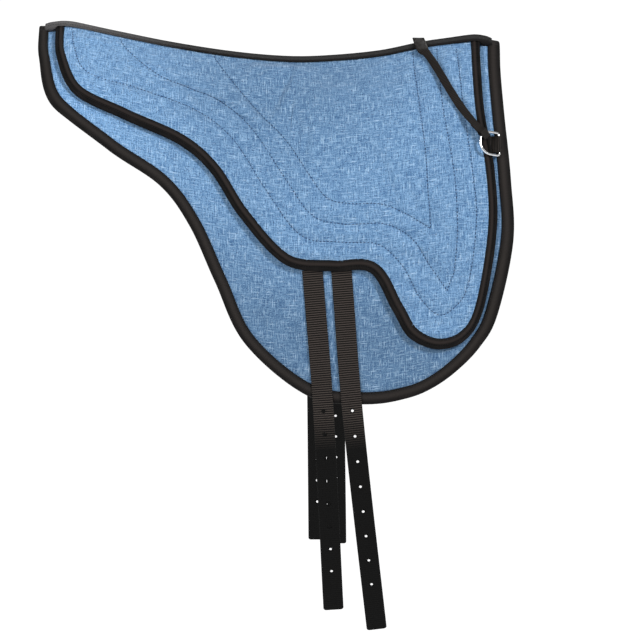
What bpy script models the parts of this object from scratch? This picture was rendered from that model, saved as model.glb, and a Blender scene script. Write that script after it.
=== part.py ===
"""Bareback pad: two padded halves hung over a taped spine, with four girth billets and a grab handle.

X runs forwards along the horse's back, Y to the horse's left and Z up. The origin lies on the
horse's back, under the lowest dip of the spine. Cloth pieces are drawn flat first, as a pattern
cutter would draw them: x along the spine and drop down the cloth from the spine. The function
hang then drapes each flat place over the back at its height above the lining's inner face.
"""

import math

import bmesh
import bpy
from mathutils import Matrix, Vector

# Pattern of one half
PAD_LENGTH = 0.700
PAD_DROP = 0.531
SPINE_SETBACK = 0.006
SPINE_RISE = 0.052

# Slope of the cloth, from the vertical
REAR_SLOPE = math.radians(58)
FRONT_SLOPE = math.radians(46)
FLAP_SLOPE = math.radians(6)
BEND_REACH = 0.340

# Clearances between pieces
FIT = 0.0003
SEAT_EASE = 0.0011
WEB_EASE = 0.0008
CUT_OVERRUN = 0.0040

# Base panel, from the horse outwards
LINING_THICK = 0.0010
BASE_FOAM_THICK = 0.0034
COVER_THICK = 0.0012

# Seat panel, sewn on top of the base panel
SEAT_FOAM_THICK = 0.0036
QUILT_EDGE_THICK = 0.0018
QUILT_CHANNEL_THICK = 0.0030
QUILT_BORDER_CROWN = 0.0055
QUILT_INNER_CROWN = 0.0068
QUILT_SEAT_CROWN = 0.0080
CROWN_RAMP = 0.0220

# Edge bindings
BASE_BINDING_WIDTH = 0.0170
SEAT_BINDING_WIDTH = 0.0150
BINDING_THICK = 0.0012
BINDING_ROUND = 0.0009

# Spine tape outside and gullet strip inside
TAPE_WIDTH = 0.0180
TAPE_THICK = 0.0012
TAPE_EDGE_LIFT = 0.0016
GULLET_WIDTH = 0.0600
GULLET_THICK = 0.0012

# Girth webbing: a sewn-in web and the billet that hangs from it
WEBBING_WIDTH = 0.0300
WEBBING_THICK = 0.0022
WEB_SEWN_LENGTH = 0.100
WEB_SHOWING = 0.0080
REAR_BILLET_FALL = 0.310
RIGHT_FRONT_BILLET_FALL = 0.343
LEFT_FRONT_BILLET_FALL = 0.317
BILLET_GAP = 0.0013
BILLET_CURL = math.radians(-7)
HOLE_DIAMETER = 0.0050
HOLE_COUNT = 8
HEM_TO_HOLE = 0.0040
REAR_HOLE_TO_TIP = 0.0620
FRONT_HOLE_TO_TIP = 0.0730

# D-ring and the tab that holds its bar
WIRE_DIAMETER = 0.0038
RING_HALF_WIDTH = 0.0170
RING_STRAIGHT = 0.0140
RING_CORNER = 0.0040
RING_TILT = math.radians(22)
RING_PLAY = 0.00035
TAB_WIDTH = 0.0250
TAB_THICK = 0.0012
TAB_SEWN_LENGTH = 0.0140
TAB_LEVEL_SHARE = 0.65

# Grab handle
HANDLE_WIDTH = 0.0180
HANDLE_THICK = 0.0016
HANDLE_LIFT = 0.0012
HANDLE_ARCH = 0.0055
HANDLE_TAIL = 0.0100
HANDLE_DROOP = math.radians(18)
HANDLE_LOOP_SLACK = 0.0050

# Mesh steps
BEND_STEPS = 24
CORE_STRIDE = 5
WEB_STEPS = 5
BILLET_LIE_STEPS = 5
BILLET_FALL_STEPS = 8
HANDLE_STEPS = 8
HOLE_SIDES = 8
CORNER_STEPS = 3
ARC_STEPS = 14
LOOP_STEPS = 6
WELD = 0.000001
FACET_SLACK = 0.0005

# Height of the spine along its length: share of the length from the rear, share of the rise
SPINE_SHARES = [
    (0.0, 0.99), (0.03, 0.97), (0.075, 0.955), (0.165, 0.71), (0.28, 0.40), (0.41, 0.13),
    (0.52, 0.0), (0.60, 0.01), (0.72, 0.16), (0.82, 0.43), (0.91, 0.575), (0.957, 0.585),
    (1.0, 0.49),
]

# Pattern of one half, station by station round its free edge from rear to front: the base
# panel's edge, the seat's edge, and the seat's outer, middle and inner quilting lines, each as
# share of the length from the rear and share of the drop
STATION_SHARES = [
    ((0.000, 0.000), (0.036, 0.000), (0.071, 0.000), (0.164, 0.000), (0.364, 0.000)),
    ((0.007, 0.114), (0.045, 0.121), (0.079, 0.084), (0.194, 0.057), (0.389, 0.055)),
    ((0.040, 0.274), (0.084, 0.238), (0.110, 0.167), (0.254, 0.118), (0.429, 0.131)),
    ((0.157, 0.375), (0.186, 0.281), (0.213, 0.182), (0.320, 0.145), (0.471, 0.198)),
    ((0.264, 0.441), (0.299, 0.318), (0.329, 0.211), (0.379, 0.168), (0.509, 0.248)),
    ((0.326, 0.536), (0.368, 0.379), (0.410, 0.278), (0.448, 0.238), (0.537, 0.293)),
    ((0.378, 0.678), (0.429, 0.488), (0.480, 0.406), (0.525, 0.381), (0.570, 0.360)),
    ((0.439, 0.837), (0.520, 0.603), (0.554, 0.525), (0.578, 0.472), (0.608, 0.426)),
    ((0.569, 0.970), (0.619, 0.623), (0.636, 0.546), (0.642, 0.498), (0.654, 0.444)),
    ((0.678, 1.000), (0.699, 0.634), (0.716, 0.561), (0.728, 0.507), (0.721, 0.453)),
    ((0.772, 1.002), (0.746, 0.747), (0.768, 0.636), (0.785, 0.561), (0.771, 0.489)),
    ((0.823, 0.988), (0.781, 0.832), (0.799, 0.722), (0.818, 0.634), (0.796, 0.514)),
    ((0.875, 0.948), (0.837, 0.876), (0.839, 0.782), (0.857, 0.714), (0.820, 0.531)),
    ((0.926, 0.882), (0.895, 0.859), (0.875, 0.764), (0.866, 0.690), (0.823, 0.512)),
    ((0.962, 0.791), (0.933, 0.773), (0.902, 0.703), (0.873, 0.656), (0.821, 0.489)),
    ((0.994, 0.579), (0.959, 0.559), (0.918, 0.532), (0.879, 0.541), (0.817, 0.427)),
    ((0.989, 0.411), (0.955, 0.398), (0.910, 0.397), (0.872, 0.401), (0.813, 0.331)),
    ((0.978, 0.236), (0.936, 0.236), (0.894, 0.228), (0.851, 0.217), (0.802, 0.199)),
    ((0.973, 0.093), (0.931, 0.093), (0.886, 0.084), (0.843, 0.074), (0.793, 0.074)),
    ((0.974, 0.000), (0.931, 0.000), (0.881, 0.000), (0.841, 0.000), (0.790, 0.000)),
]
CORE_SHARES = (0.500, 0.700)
SPAN_STEPS = (1, 3, 2, 2, 2, 2, 3, 3, 1, 2, 2, 2, 2, 1, 2, 2, 2, 1, 1)

# Two more stations of the quilt's top, just clear of the tape: share of the first, last span
BESIDE_TAPE_SHARES = (0.17, 0.79)

# Lines of the pattern, counted inwards from the base panel's edge
BASE_EDGE, SEAT_EDGE, OUTER_QUILT, MIDDLE_QUILT, INNER_QUILT, CORE = range(6)

# Rows of the quilt's top after each line: share of the way to the next line, puff of the padding
BORDER_ROWS = [(0.5, 1.0)]
BAND_ROWS = [(0.3, 1.0), (0.7, 1.0)]
SEAT_ROWS = [(0.12, 0.85), (0.33, 1.0), (0.67, 1.0), (0.88, 0.85), (0.955, 0.0)]

# Centre line of each billet: share of the length at the seat's edge, the hem and the tip
BILLET_SHARES = {
    "rear_right": (0.579, 0.601, 0.623),
    "front_right": (0.639, 0.661, 0.715),
    "rear_left": (0.579, 0.585, 0.589),
    "front_left": (0.639, 0.622, 0.628),
}
SEAT_EDGE_SHARE = 0.632
HEM_SHARE = 1.006

# The ring's arc centre, and the handle from the spine to the ring, on the flat pattern
RING_SHARES = (0.946, 0.3245)
HANDLE_SHARES = [(0.803, 0.0), (0.826, 0.052), (0.866, 0.170), (0.904, 0.261)]
HANDLE_PULL = math.radians(49)

# Colours
DENIM = (0.159, 0.347, 0.597)
PALE_DENIM = (0.195, 0.402, 0.631)
LINING_GREY = (0.080, 0.085, 0.095)
FOAM_GREY = (0.450, 0.450, 0.430)
BINDING_BLACK = (0.022, 0.020, 0.021)
WEBBING_BLACK = (0.012, 0.012, 0.013)
CHROME = (0.800, 0.810, 0.830)

SIDES = {"right": -1, "left": 1}


def spline(points, place):
    """The point at a place, counted in spans, on a smooth curve through the points."""
    span = max(0, min(int(place), len(points) - 2))
    part = place - span
    here, there = Vector(points[span]), Vector(points[span + 1])
    before = Vector(points[span - 1]) if span > 0 else here * 2 - there
    after = Vector(points[span + 2]) if span + 2 < len(points) else there * 2 - here
    slope_here, slope_there = (there - before) / 2, (after - here) / 2
    square, cube = part * part, part * part * part
    return (here * (2 * cube - 3 * square + 1) + slope_here * (cube - 2 * square + part)
            + there * (3 * square - 2 * cube) + slope_there * (cube - square))


def value_at(table, place):
    """The smooth value of a table of (place, value) pairs."""
    last = len(table) - 2
    span = 0
    while span < last and place > table[span + 1][0]:
        span += 1

    def steepness(index):
        low, high = max(index - 1, 0), min(index + 1, len(table) - 1)
        return (table[high][1] - table[low][1]) / (table[high][0] - table[low][0])

    width = table[span + 1][0] - table[span][0]
    part = min(max((place - table[span][0]) / width, 0), 1)
    square, cube = part * part, part * part * part
    return (table[span][1] * (2 * cube - 3 * square + 1)
            + steepness(span) * width * (cube - 2 * square + part)
            + table[span + 1][1] * (3 * square - 2 * cube)
            + steepness(span + 1) * width * (cube - square))


def flat(shares):
    """A place on the flat pattern, (x, drop), from its shares."""
    along, down = shares
    return Vector(((along - 0.5) * PAD_LENGTH, SPINE_SETBACK + down * (PAD_DROP - SPINE_SETBACK)))


def slope_at(x, drop):
    """Angle of the cloth from the vertical."""
    along = min(max(x / PAD_LENGTH + 0.5, 0), 1)
    ridge = REAR_SLOPE + (FRONT_SLOPE - REAR_SLOPE) * along
    reach = min(max(drop / BEND_REACH, 0), 1)
    return FLAP_SLOPE + (ridge - FLAP_SLOPE) * (1 + math.cos(math.pi * reach)) / 2


def spine_height(x):
    return SPINE_RISE * value_at(SPINE_SHARES, x / PAD_LENGTH + 0.5)


def hang(x, drop, height, side):
    """A place on the flat pattern, draped: height is above the lining's inner face."""
    out = down = 0.0
    step = drop / BEND_STEPS
    for index in range(BEND_STEPS):
        slope = slope_at(x, (index + 0.5) * step)
        out += math.sin(slope) * step
        down += math.cos(slope) * step
    slope = slope_at(x, drop)
    out += height * math.cos(slope)
    rise = height * math.sin(slope)
    return Vector((x, side * out, spine_height(x) - down + rise))


def frame_at(x, drop, height, side):
    """Place, forward, downslope and outward directions on the draped cloth."""
    place = hang(x, drop, height, side)
    forward = (hang(x + FIT, drop, height, side) - place).normalized()
    downslope = (hang(x, drop + FIT, height, side) - place).normalized()
    return place, forward, downslope, forward.cross(downslope) * side


# Heights above the lining's inner face
BASE_FOAM_LOW = LINING_THICK + FIT
COVER_LOW = BASE_FOAM_LOW + BASE_FOAM_THICK + FIT
COVER_TOP = COVER_LOW + COVER_THICK
BASE_BINDING_TOP = COVER_TOP + FIT + BINDING_THICK
SEAT_FOAM_LOW = COVER_TOP + SEAT_EASE
SEAT_FOAM_TOP = SEAT_FOAM_LOW + SEAT_FOAM_THICK
QUILT_LOW = SEAT_FOAM_TOP + FIT
QUILT_EDGE_TOP = QUILT_LOW + QUILT_EDGE_THICK
SEAT_BINDING_TOP = QUILT_EDGE_TOP + FIT + BINDING_THICK
WEB_LOW = COVER_TOP + WEB_EASE
WEB_TOP = WEB_LOW + WEBBING_THICK
CHANNEL_TOP = QUILT_LOW + QUILT_EDGE_THICK / 2
HANDLE_MIDDLE = QUILT_LOW + QUILT_SEAT_CROWN + HANDLE_LIFT + HANDLE_THICK / 2


def pattern_line(line, place):
    """A place on one of the pattern's lines, counted in stations from the rear."""
    if line < CORE:
        return spline([flat(station[line]) for station in STATION_SHARES], place)
    rear, front = CORE_SHARES
    return flat((rear + (front - rear) * max(place, 1) / (len(STATION_SHARES) - 1), 0.0))


def inwards(line, place):
    """Step from an edge towards the next line, for each metre of width square to the edge."""
    here, last = pattern_line(line, place), len(STATION_SHARES) - 1
    nudge = BESIDE_TAPE_SHARES[0]
    run = (pattern_line(line, min(place + nudge, last))
           - pattern_line(line, max(place - nudge, 0))).normalized()
    toward = (pattern_line(line + 1, place) - here).normalized()
    return toward / toward.dot(Vector((run.y, -run.x)))


def pattern_place(row, place):
    """A grid place: its row names a line, a share of the way inwards and a step off the line."""
    line, share, step = row
    here = pattern_line(line, place)
    if step > 0:
        here += inwards(line, place) * step
    return here.lerp(pattern_line(line + 1, place), share) if share > 0 else here


BASE_ROWS = [(BASE_EDGE, 0.0, 0.0), (BASE_EDGE, 0.0, BASE_BINDING_WIDTH)]
SHARED_ROWS = [(SEAT_EDGE, 0.0, 0.0), (OUTER_QUILT, 0.0, 0.0), (INNER_QUILT, 0.0, 0.0),
               (INNER_QUILT, SEAT_ROWS[1][0], 0.0), (INNER_QUILT, SEAT_ROWS[2][0], 0.0),
               (CORE, 0.0, 0.0)]


def quilt_rows():
    """Rows of the quilt's top: grid row, thickness, and the shared row that it stands over."""
    rows = [((SEAT_EDGE, 0.0, 0.0), QUILT_EDGE_THICK, 0),
            ((SEAT_EDGE, 0.0, SEAT_BINDING_WIDTH), QUILT_EDGE_THICK, 0),
            ((SEAT_EDGE, BORDER_ROWS[0][0], SEAT_BINDING_WIDTH), QUILT_BORDER_CROWN, 1)]
    for line, crown in ((OUTER_QUILT, QUILT_INNER_CROWN), (MIDDLE_QUILT, QUILT_INNER_CROWN)):
        rows.append(((line, 0.0, 0.0), QUILT_CHANNEL_THICK, line - SEAT_EDGE))
        rows += [((line, share, 0.0), crown, 1 if line == OUTER_QUILT else 2)
                 for share, _ in BAND_ROWS]
    rows.append(((INNER_QUILT, 0.0, 0.0), QUILT_CHANNEL_THICK, 2))
    for (share, puff), under in zip(SEAT_ROWS, (2, 3, 4, 5, 5)):
        thick = QUILT_EDGE_THICK + (QUILT_SEAT_CROWN - QUILT_EDGE_THICK) * puff
        rows.append(((INNER_QUILT, share, 0.0), thick, under))
    rows.append(((CORE, 0.0, 0.0), QUILT_EDGE_THICK, 5))
    return rows


def stations(beside_tape):
    """Places of the grid's stations, with the two beside the tape if asked."""
    places = [0.0]
    for span, steps in enumerate(SPAN_STEPS):
        places += [span + (index + 1) / steps for index in range(steps)]
    if beside_tape:
        first, last = BESIDE_TAPE_SHARES
        places = places[:1] + [first] + places[1:-1] + [len(SPAN_STEPS) - 1 + last] + places[-1:]
    return places


BASE_PLACES = [[pattern_place(row, place) for row in BASE_ROWS + SHARED_ROWS]
               for place in stations(False)]


def on_facets(x, drop, height, side):
    """The same place as hang gives, but on the flat facets that the base panel's mesh has."""
    wanted = Vector((x, drop))
    for near, far in zip(BASE_PLACES, BASE_PLACES[1:]):
        for row in range(len(near) - 1):
            for ends in ((near[row], far[row], far[row + 1]),
                         (near[row], far[row + 1], near[row + 1])):
                first, second, third = ends
                across, down, offset = second - first, third - first, wanted - first
                area = across.cross(down)
                if abs(area) < WELD * WELD:
                    continue
                share_b, share_c = offset.cross(down) / area, across.cross(offset) / area
                if min(share_b, share_c, 1 - share_b - share_c) >= -FACET_SLACK:
                    corners = [hang(*end, height, side) for end in ends]
                    return (corners[0] * (1 - share_b - share_c) + corners[1] * share_b
                            + corners[2] * share_c)
    return hang(x, drop, height, side)


def material(name, colour, roughness, metallic=0.0):
    finish = bpy.data.materials.new(name)
    finish.use_nodes = True
    shader = finish.node_tree.nodes["Principled BSDF"]
    shader.inputs["Base Color"].default_value = (*colour, 1.0)
    shader.inputs["Roughness"].default_value = roughness
    shader.inputs["Metallic"].default_value = metallic
    finish.diffuse_color = (*colour, 1.0)
    return finish


def finish_object(name, data, finish, group, carrier=None):
    piece = bpy.data.objects.new(name, data)
    data.materials.append(finish)
    group.objects.link(piece)
    if carrier is not None:
        piece.parent = carrier
        piece.matrix_parent_inverse = carrier.matrix_world.inverted()
    return piece


def mesh_from(shape, name):
    bmesh.ops.recalc_face_normals(shape, faces=shape.faces)
    data = bpy.data.meshes.new(name)
    shape.to_mesh(data)
    shape.free()
    data.shade_smooth()
    data.set_sharp_from_angle(angle=math.radians(45))
    return data


def sheet(name, columns, rows, low, high):
    """A closed sheet over a grid: low and high give each grid place's two faces.

    Every layer is split along the same diagonals, so stacked layers stay parallel.
    """
    shape = bmesh.new()
    bmesh.ops.create_grid(shape, x_segments=columns, y_segments=rows, size=1.0)
    bmesh.ops.triangulate(shape, faces=shape.faces, quad_method="FIXED")
    raised = bmesh.ops.extrude_face_region(shape, geom=shape.faces[:], use_keep_orig=True)
    upper = {item for item in raised["geom"] if isinstance(item, bmesh.types.BMVert)}
    for corner in shape.verts:
        column = round((corner.co.x + 1) / 2 * columns)
        row = round((corner.co.y + 1) / 2 * rows)
        corner.co = high(column, row) if corner in upper else low(column, row)
    bmesh.ops.remove_doubles(shape, verts=shape.verts, dist=WELD)
    return mesh_from(shape, name)


def loft(name, sections, turned_rows):
    """A closed bar through sections of as many corners each; turned rows swap diagonals."""
    shape = bmesh.new()
    columns, rows = len(sections) - 1, len(sections[0])
    bmesh.ops.create_grid(shape, x_segments=columns, y_segments=rows, size=1.0)
    middles = {face: (face.calc_center_median().y + 1) / 2 * rows for face in shape.faces}
    turned = [face for face, middle in middles.items() if int(middle) in turned_rows]
    others = [face for face, middle in middles.items() if int(middle) not in turned_rows]
    bmesh.ops.triangulate(shape, faces=turned, quad_method="ALTERNATE")
    bmesh.ops.triangulate(shape, faces=others, quad_method="FIXED")
    for corner in shape.verts:
        column = round((corner.co.x + 1) / 2 * columns)
        row = round((corner.co.y + 1) / 2 * rows)
        corner.co = sections[column][row % rows]
    bmesh.ops.remove_doubles(shape, verts=shape.verts, dist=WELD)
    ends = [edge for edge in shape.edges if edge.is_boundary]
    bmesh.ops.holes_fill(shape, edges=ends, sides=0)
    return mesh_from(shape, name)


def squares(middles, outwards):
    """The way across a ribbon at each of its middles, square to its run and to its face."""
    last = len(middles) - 1
    return [(middles[min(index + 1, last)] - middles[max(index - 1, 0)]).cross(outwards[index])
            .normalized() for index in range(last + 1)]


def ribbon(name, middles, acrosses, width, thick):
    """Flat webbing along its middles, with the way across it at each."""
    last = len(middles) - 1
    frames = []
    for index, across in enumerate(acrosses):
        run = middles[min(index + 1, last)] - middles[max(index - 1, 0)]
        frames.append((across * (width / 2), across.cross(run).normalized() * (thick / 2)))

    def face(column, row, level):
        across, out = frames[column]
        return middles[column] + across * (2 * row - 1) + out * level

    return sheet(name, last, 1, lambda column, row: face(column, row, -1),
                 lambda column, row: face(column, row, 1))


def cut(piece, cutter):
    remove = piece.modifiers.new("cut_" + cutter.name, "BOOLEAN")
    remove.operation = "DIFFERENCE"
    remove.solver = "EXACT"
    remove.object = cutter


def cutter_object(name, data, group):
    tool = bpy.data.objects.new(name, data)
    tool.display_type = "WIRE"
    tool.hide_render = True
    group.objects.link(tool)
    return tool


def empty(name, place, group, carrier=None):
    axis = bpy.data.objects.new(name, None)
    axis.empty_display_size = HANDLE_WIDTH
    group.objects.link(axis)
    axis.matrix_world = Matrix.Translation(place)
    if carrier is not None:
        axis.parent = carrier
        axis.matrix_parent_inverse = carrier.matrix_world.inverted()
        axis.matrix_basis = Matrix.Translation(place)
    bpy.context.view_layer.update()
    return axis


def base_panel(word, side, finishes, group, carrier):
    """Lining, foam and denim cover of one half's base, and the binding round its free edge."""
    layers = [
        ("base_lining", 0.0, LINING_THICK, "lining"),
        ("base_foam", BASE_FOAM_LOW, BASE_FOAM_LOW + BASE_FOAM_THICK, "foam"),
        ("base_cover", COVER_LOW, COVER_TOP, "denim"),
    ]
    columns, rows = len(BASE_PLACES) - 1, len(BASE_PLACES[0]) - 1
    for layer, low, top, finish in layers:
        name = layer + "_" + word
        data = sheet(name, columns, rows,
                     lambda column, row: hang(*BASE_PLACES[column][row], low, side),
                     lambda column, row: hang(*BASE_PLACES[column][row], top, side))
        finish_object(name, data, material(name, *finishes[finish]), group, carrier)
    sections = [binding_section(BASE_EDGE, place, -FIT - BINDING_THICK, BASE_BINDING_TOP,
                                BASE_BINDING_WIDTH, side, True) for place in stations(False)]
    name = "base_binding_" + word
    data = loft(name, sections, turned_rows=(2, 6))
    finish_object(name, data, material(name, *finishes["binding"]), group, carrier)


def binding_section(line, place, low, top, width, side, folded_under):
    """Tape folded over an edge: its top leg, its outer wall and, if asked, its leg underneath."""
    edge, into = pattern_line(line, place), inwards(line, place)
    outer, inner = -FIT - BINDING_THICK, -FIT
    corners = [(BINDING_ROUND, top), (width, top), (width, top - BINDING_THICK),
               (inner, top - BINDING_THICK)]
    if folded_under:
        corners += [(inner, low + BINDING_THICK), (width, low + BINDING_THICK), (width, low),
                    (BINDING_ROUND, low), (outer, low + BINDING_ROUND)]
    else:
        corners += [(inner, low), (outer, low)]
    corners.append((outer, top - BINDING_ROUND))
    return [hang(*(edge + into * depth), height, side) for depth, height in corners]


def seat_panel(word, side, finishes, group, carrier, channels):
    """Foam and quilted denim of one half's seat, with the binding round its free edge."""
    shared = [places[len(BASE_ROWS):] for places in BASE_PLACES]
    name = "seat_foam_" + word
    data = sheet(name, len(shared) - 1, len(SHARED_ROWS) - 1,
                 lambda column, row: hang(*shared[column][row], SEAT_FOAM_LOW, side),
                 lambda column, row: hang(*shared[column][row], SEAT_FOAM_TOP, side))
    foam = finish_object(name, data, material(name, *finishes["foam"]), group, carrier)

    rows, fine = quilt_rows(), stations(True)
    tape_side = TAPE_WIDTH / 2 + BINDING_THICK
    columns = len(fine) - 1
    places = [[pattern_place(row[0], place) for row in rows] for place in fine]
    under = [0, 0] + list(range(1, len(shared) - 1)) + [len(shared) - 1] * 2

    def quilt_low(column, row):
        return hang(*shared[under[column]][rows[row][2]], QUILT_LOW, side)

    def quilt_top(column, row):
        place = places[column][row]
        clear = min(max((place.y - tape_side) / CROWN_RAMP, 0), 1)
        thick = QUILT_EDGE_THICK + (rows[row][1] - QUILT_EDGE_THICK) * clear
        drape = hang if 1 < column < columns - 1 else on_facets
        return drape(*place, QUILT_LOW + thick, side)

    name = "seat_quilt_" + word
    data = sheet(name, columns, len(rows) - 1, quilt_low, quilt_top)
    finish_object(name, data, material(name, *finishes["quilt"]), group, carrier)

    rear_start = tape_side / pattern_line(SEAT_EDGE, 1).y
    front_start = tape_side / pattern_line(SEAT_EDGE, len(SPAN_STEPS) - 1).y
    ends = [rear_start] + fine[1:-1] + [len(SPAN_STEPS) - front_start]
    sections = [binding_section(SEAT_EDGE, place, COVER_TOP + SEAT_EASE - FIT, SEAT_BINDING_TOP,
                                SEAT_BINDING_WIDTH, side, False) for place in ends]
    name = "seat_binding_" + word
    data = loft(name, sections, turned_rows=(2,))
    binding = finish_object(name, data, material(name, *finishes["binding"]), group, carrier)
    for channel in channels:
        cut(foam, channel)
        cut(binding, channel)


def strap_x(name, drop):
    """Where a billet's middle lies along the pad at a drop, on its way to the tip."""
    seat_edge, hem = flat((0, SEAT_EDGE_SHARE)).y, flat((0, HEM_SHARE)).y
    places = (seat_edge, hem, hem + billet_fall(name))
    middles = [(share - 0.5) * PAD_LENGTH for share in BILLET_SHARES[name]]
    if name.startswith("front"):
        behind = [(share - 0.5) * PAD_LENGTH
                  for share in BILLET_SHARES[name.replace("front", "rear")]]
        middles = [max(middle, other + WEBBING_WIDTH + BILLET_GAP)
                   for middle, other in zip(middles, behind)]
    if drop < seat_edge:
        return middles[0] - (middles[1] - middles[0]) * (seat_edge - drop) / (hem - seat_edge)
    return value_at(list(zip(places, middles)), drop)


def billet_fall(name):
    if name.startswith("rear"):
        return REAR_BILLET_FALL
    return RIGHT_FRONT_BILLET_FALL if name.endswith("right") else LEFT_FRONT_BILLET_FALL


def hinge_drop():
    """Drop of the billets' fold line, where the webbing comes out from under the seat."""
    return flat((0, SEAT_EDGE_SHARE)).y + FIT + BINDING_THICK + WEB_SHOWING


def facet_strip(name, run, half_width, low, top, side):
    """Webbing that lies on the base panel: run gives the place along it, as x and drop."""
    def place(column, row, height):
        x, drop = run[column]
        return on_facets(x + half_width * (2 * row - 1), drop, height, side)

    return sheet(name, len(run) - 1, 1, lambda column, row: place(column, row, low),
                 lambda column, row: place(column, row, top))


def sewn_web(name, side, finishes, group, carrier, cutters):
    """The stretch of girth webbing that is sewn between base and seat, and its channel."""
    low = hinge_drop() - FIT
    drops = [low - WEB_SEWN_LENGTH * index / WEB_STEPS for index in range(WEB_STEPS + 1)]
    run = [(strap_x(name, drop), drop) for drop in drops]
    piece = "web_" + name
    data = facet_strip(piece, run, WEBBING_WIDTH / 2, WEB_LOW, WEB_TOP, side)
    finish_object(piece, data, material(piece, *finishes["webbing"]), group, carrier)

    drops = [low + CUT_OVERRUN] + drops[1:-1] + [drops[-1] - CUT_OVERRUN]
    run = [(strap_x(name, drop), drop) for drop in drops]
    tool = "channel_" + name
    data = facet_strip(tool, run, WEBBING_WIDTH / 2 + SEAT_EASE, COVER_TOP - CUT_OVERRUN,
                       CHANNEL_TOP, side)
    return cutter_object(tool, data, cutters)


def billet(name, side, finishes, group, fold, cutters):
    """A free billet: it lies on the base, clears the hem and hangs, punched for a buckle."""
    start, hem = hinge_drop() + FIT, flat((0, HEM_SHARE)).y
    rest = WEB_LOW + WEBBING_THICK / 2
    clear = BASE_BINDING_TOP + WEB_EASE + WEBBING_THICK / 2
    middles, acrosses = [], []
    for index in range(BILLET_LIE_STEPS + 1):
        share = index / BILLET_LIE_STEPS
        drop = start + (hem - start) * share
        place, forward, _, _ = frame_at(strap_x(name, drop), drop,
                                        rest + (clear - rest) * share, side)
        middles.append(place)
        acrosses.append(forward)
    fall = billet_fall(name)
    step = fall / BILLET_FALL_STEPS
    for index in range(1, BILLET_FALL_STEPS + 1):
        share = index / BILLET_FALL_STEPS
        slope = FLAP_SLOPE + (BILLET_CURL - FLAP_SLOPE) * share
        place = middles[-1] + Vector((0, side * math.sin(slope), -math.cos(slope))) * step
        place.x = strap_x(name, hem + fall * share)
        middles.append(place)
        acrosses.append(acrosses[-1])
    axis = empty("axis_billet_" + name, billet_axis(name, side), group, fold)
    piece = "billet_" + name
    data = ribbon(piece, middles, acrosses, WEBBING_WIDTH, WEBBING_THICK)
    strap = finish_object(piece, data, material(piece, *finishes["webbing"]), group, axis)
    to_tip = FRONT_HOLE_TO_TIP if name.startswith("front") else REAR_HOLE_TO_TIP
    for place, run in hole_places(middles, fall, to_tip):
        cut(strap, hole_cutter("hole_" + name, place, run.cross(acrosses[-1]), cutters))


def billet_axis(name, side):
    """A point on the billet's fold line, on the outer face of the webbing."""
    drop = hinge_drop()
    return hang(strap_x(name, drop), drop, WEB_TOP, side)


def hole_places(middles, fall, to_tip):
    """Punched holes, spread evenly from under the hem to near the tip: place and strap's run."""
    lengths = [0.0]
    for index in range(len(middles) - 1, 0, -1):
        lengths.append(lengths[-1] + (middles[index] - middles[index - 1]).length)
    for count in range(HOLE_COUNT):
        spread = fall - HEM_TO_HOLE - to_tip
        wanted = to_tip + spread * count / (HOLE_COUNT - 1)
        span = 0
        while span < len(lengths) - 2 and lengths[span + 1] < wanted:
            span += 1
        part = (wanted - lengths[span]) / (lengths[span + 1] - lengths[span])
        index = len(middles) - 1 - span
        yield (middles[index].lerp(middles[index - 1], part),
               (middles[index] - middles[index - 1]).normalized())


def hole_cutter(name, place, out, cutters):
    shape = bmesh.new()
    bmesh.ops.create_cone(shape, cap_ends=True, segments=HOLE_SIDES, radius1=HOLE_DIAMETER / 2,
                          radius2=HOLE_DIAMETER / 2, depth=WEBBING_THICK + CUT_OVERRUN)
    turn = Vector((0, 0, 1)).rotation_difference(out).to_matrix().to_4x4()
    bmesh.ops.transform(shape, matrix=Matrix.Translation(place) @ turn, verts=shape.verts)
    return cutter_object(name, mesh_from(shape, name), cutters)


def ring_frame(side):
    """Middle of the ring's bar, then the way to the crown, down the bar and out of the ring."""
    centre = flat(RING_SHARES)
    loop = WIRE_DIAMETER / 2 + RING_PLAY + TAB_THICK
    height = BASE_BINDING_TOP + WEB_EASE + loop
    place, forward, downslope, outward = frame_at(centre.x, centre.y, height, side)
    bar = place + forward * RING_STRAIGHT
    crown = -forward * math.cos(RING_TILT) + outward * math.sin(RING_TILT)
    out = forward * math.sin(RING_TILT) + outward * math.cos(RING_TILT)
    return bar, crown, downslope, out


def ring_outline():
    """Corners of the D, as (towards the crown, down the bar): bar, corners, sides and arc."""
    points = []
    reach = RING_HALF_WIDTH - RING_CORNER
    for end in (-1, 1):
        for index in range(CORNER_STEPS + 1):
            turn = math.pi / 2 * index / CORNER_STEPS
            turn = turn if end > 0 else math.pi / 2 - turn
            points.append((RING_CORNER * (1 - math.cos(turn)),
                           end * (reach + RING_CORNER * math.sin(turn))))
    arc = []
    for index in range(ARC_STEPS + 1):
        turn = math.pi * index / ARC_STEPS
        arc.append((RING_STRAIGHT + RING_HALF_WIDTH * math.sin(turn),
                    RING_HALF_WIDTH * math.cos(turn)))
    return points + arc


def d_ring(word, side, finishes, group, fold):
    bar, crown, down, _ = ring_frame(side)
    axis = empty("axis_d_ring_" + word, bar, group, fold)
    name = "d_ring_" + word
    wire = bpy.data.curves.new(name, "CURVE")
    wire.dimensions = "3D"
    wire.bevel_depth = WIRE_DIAMETER / 2
    wire.bevel_resolution = 2
    outline = ring_outline()
    path = wire.splines.new("POLY")
    path.points.add(len(outline) - 1)
    path.use_cyclic_u = True
    for point, (rise, along) in zip(path.points, outline):
        point.co = (*(bar + crown * rise + down * along), 1.0)
    finish_object(name, wire, material(name, *finishes["chrome"]), group, axis)


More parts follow.
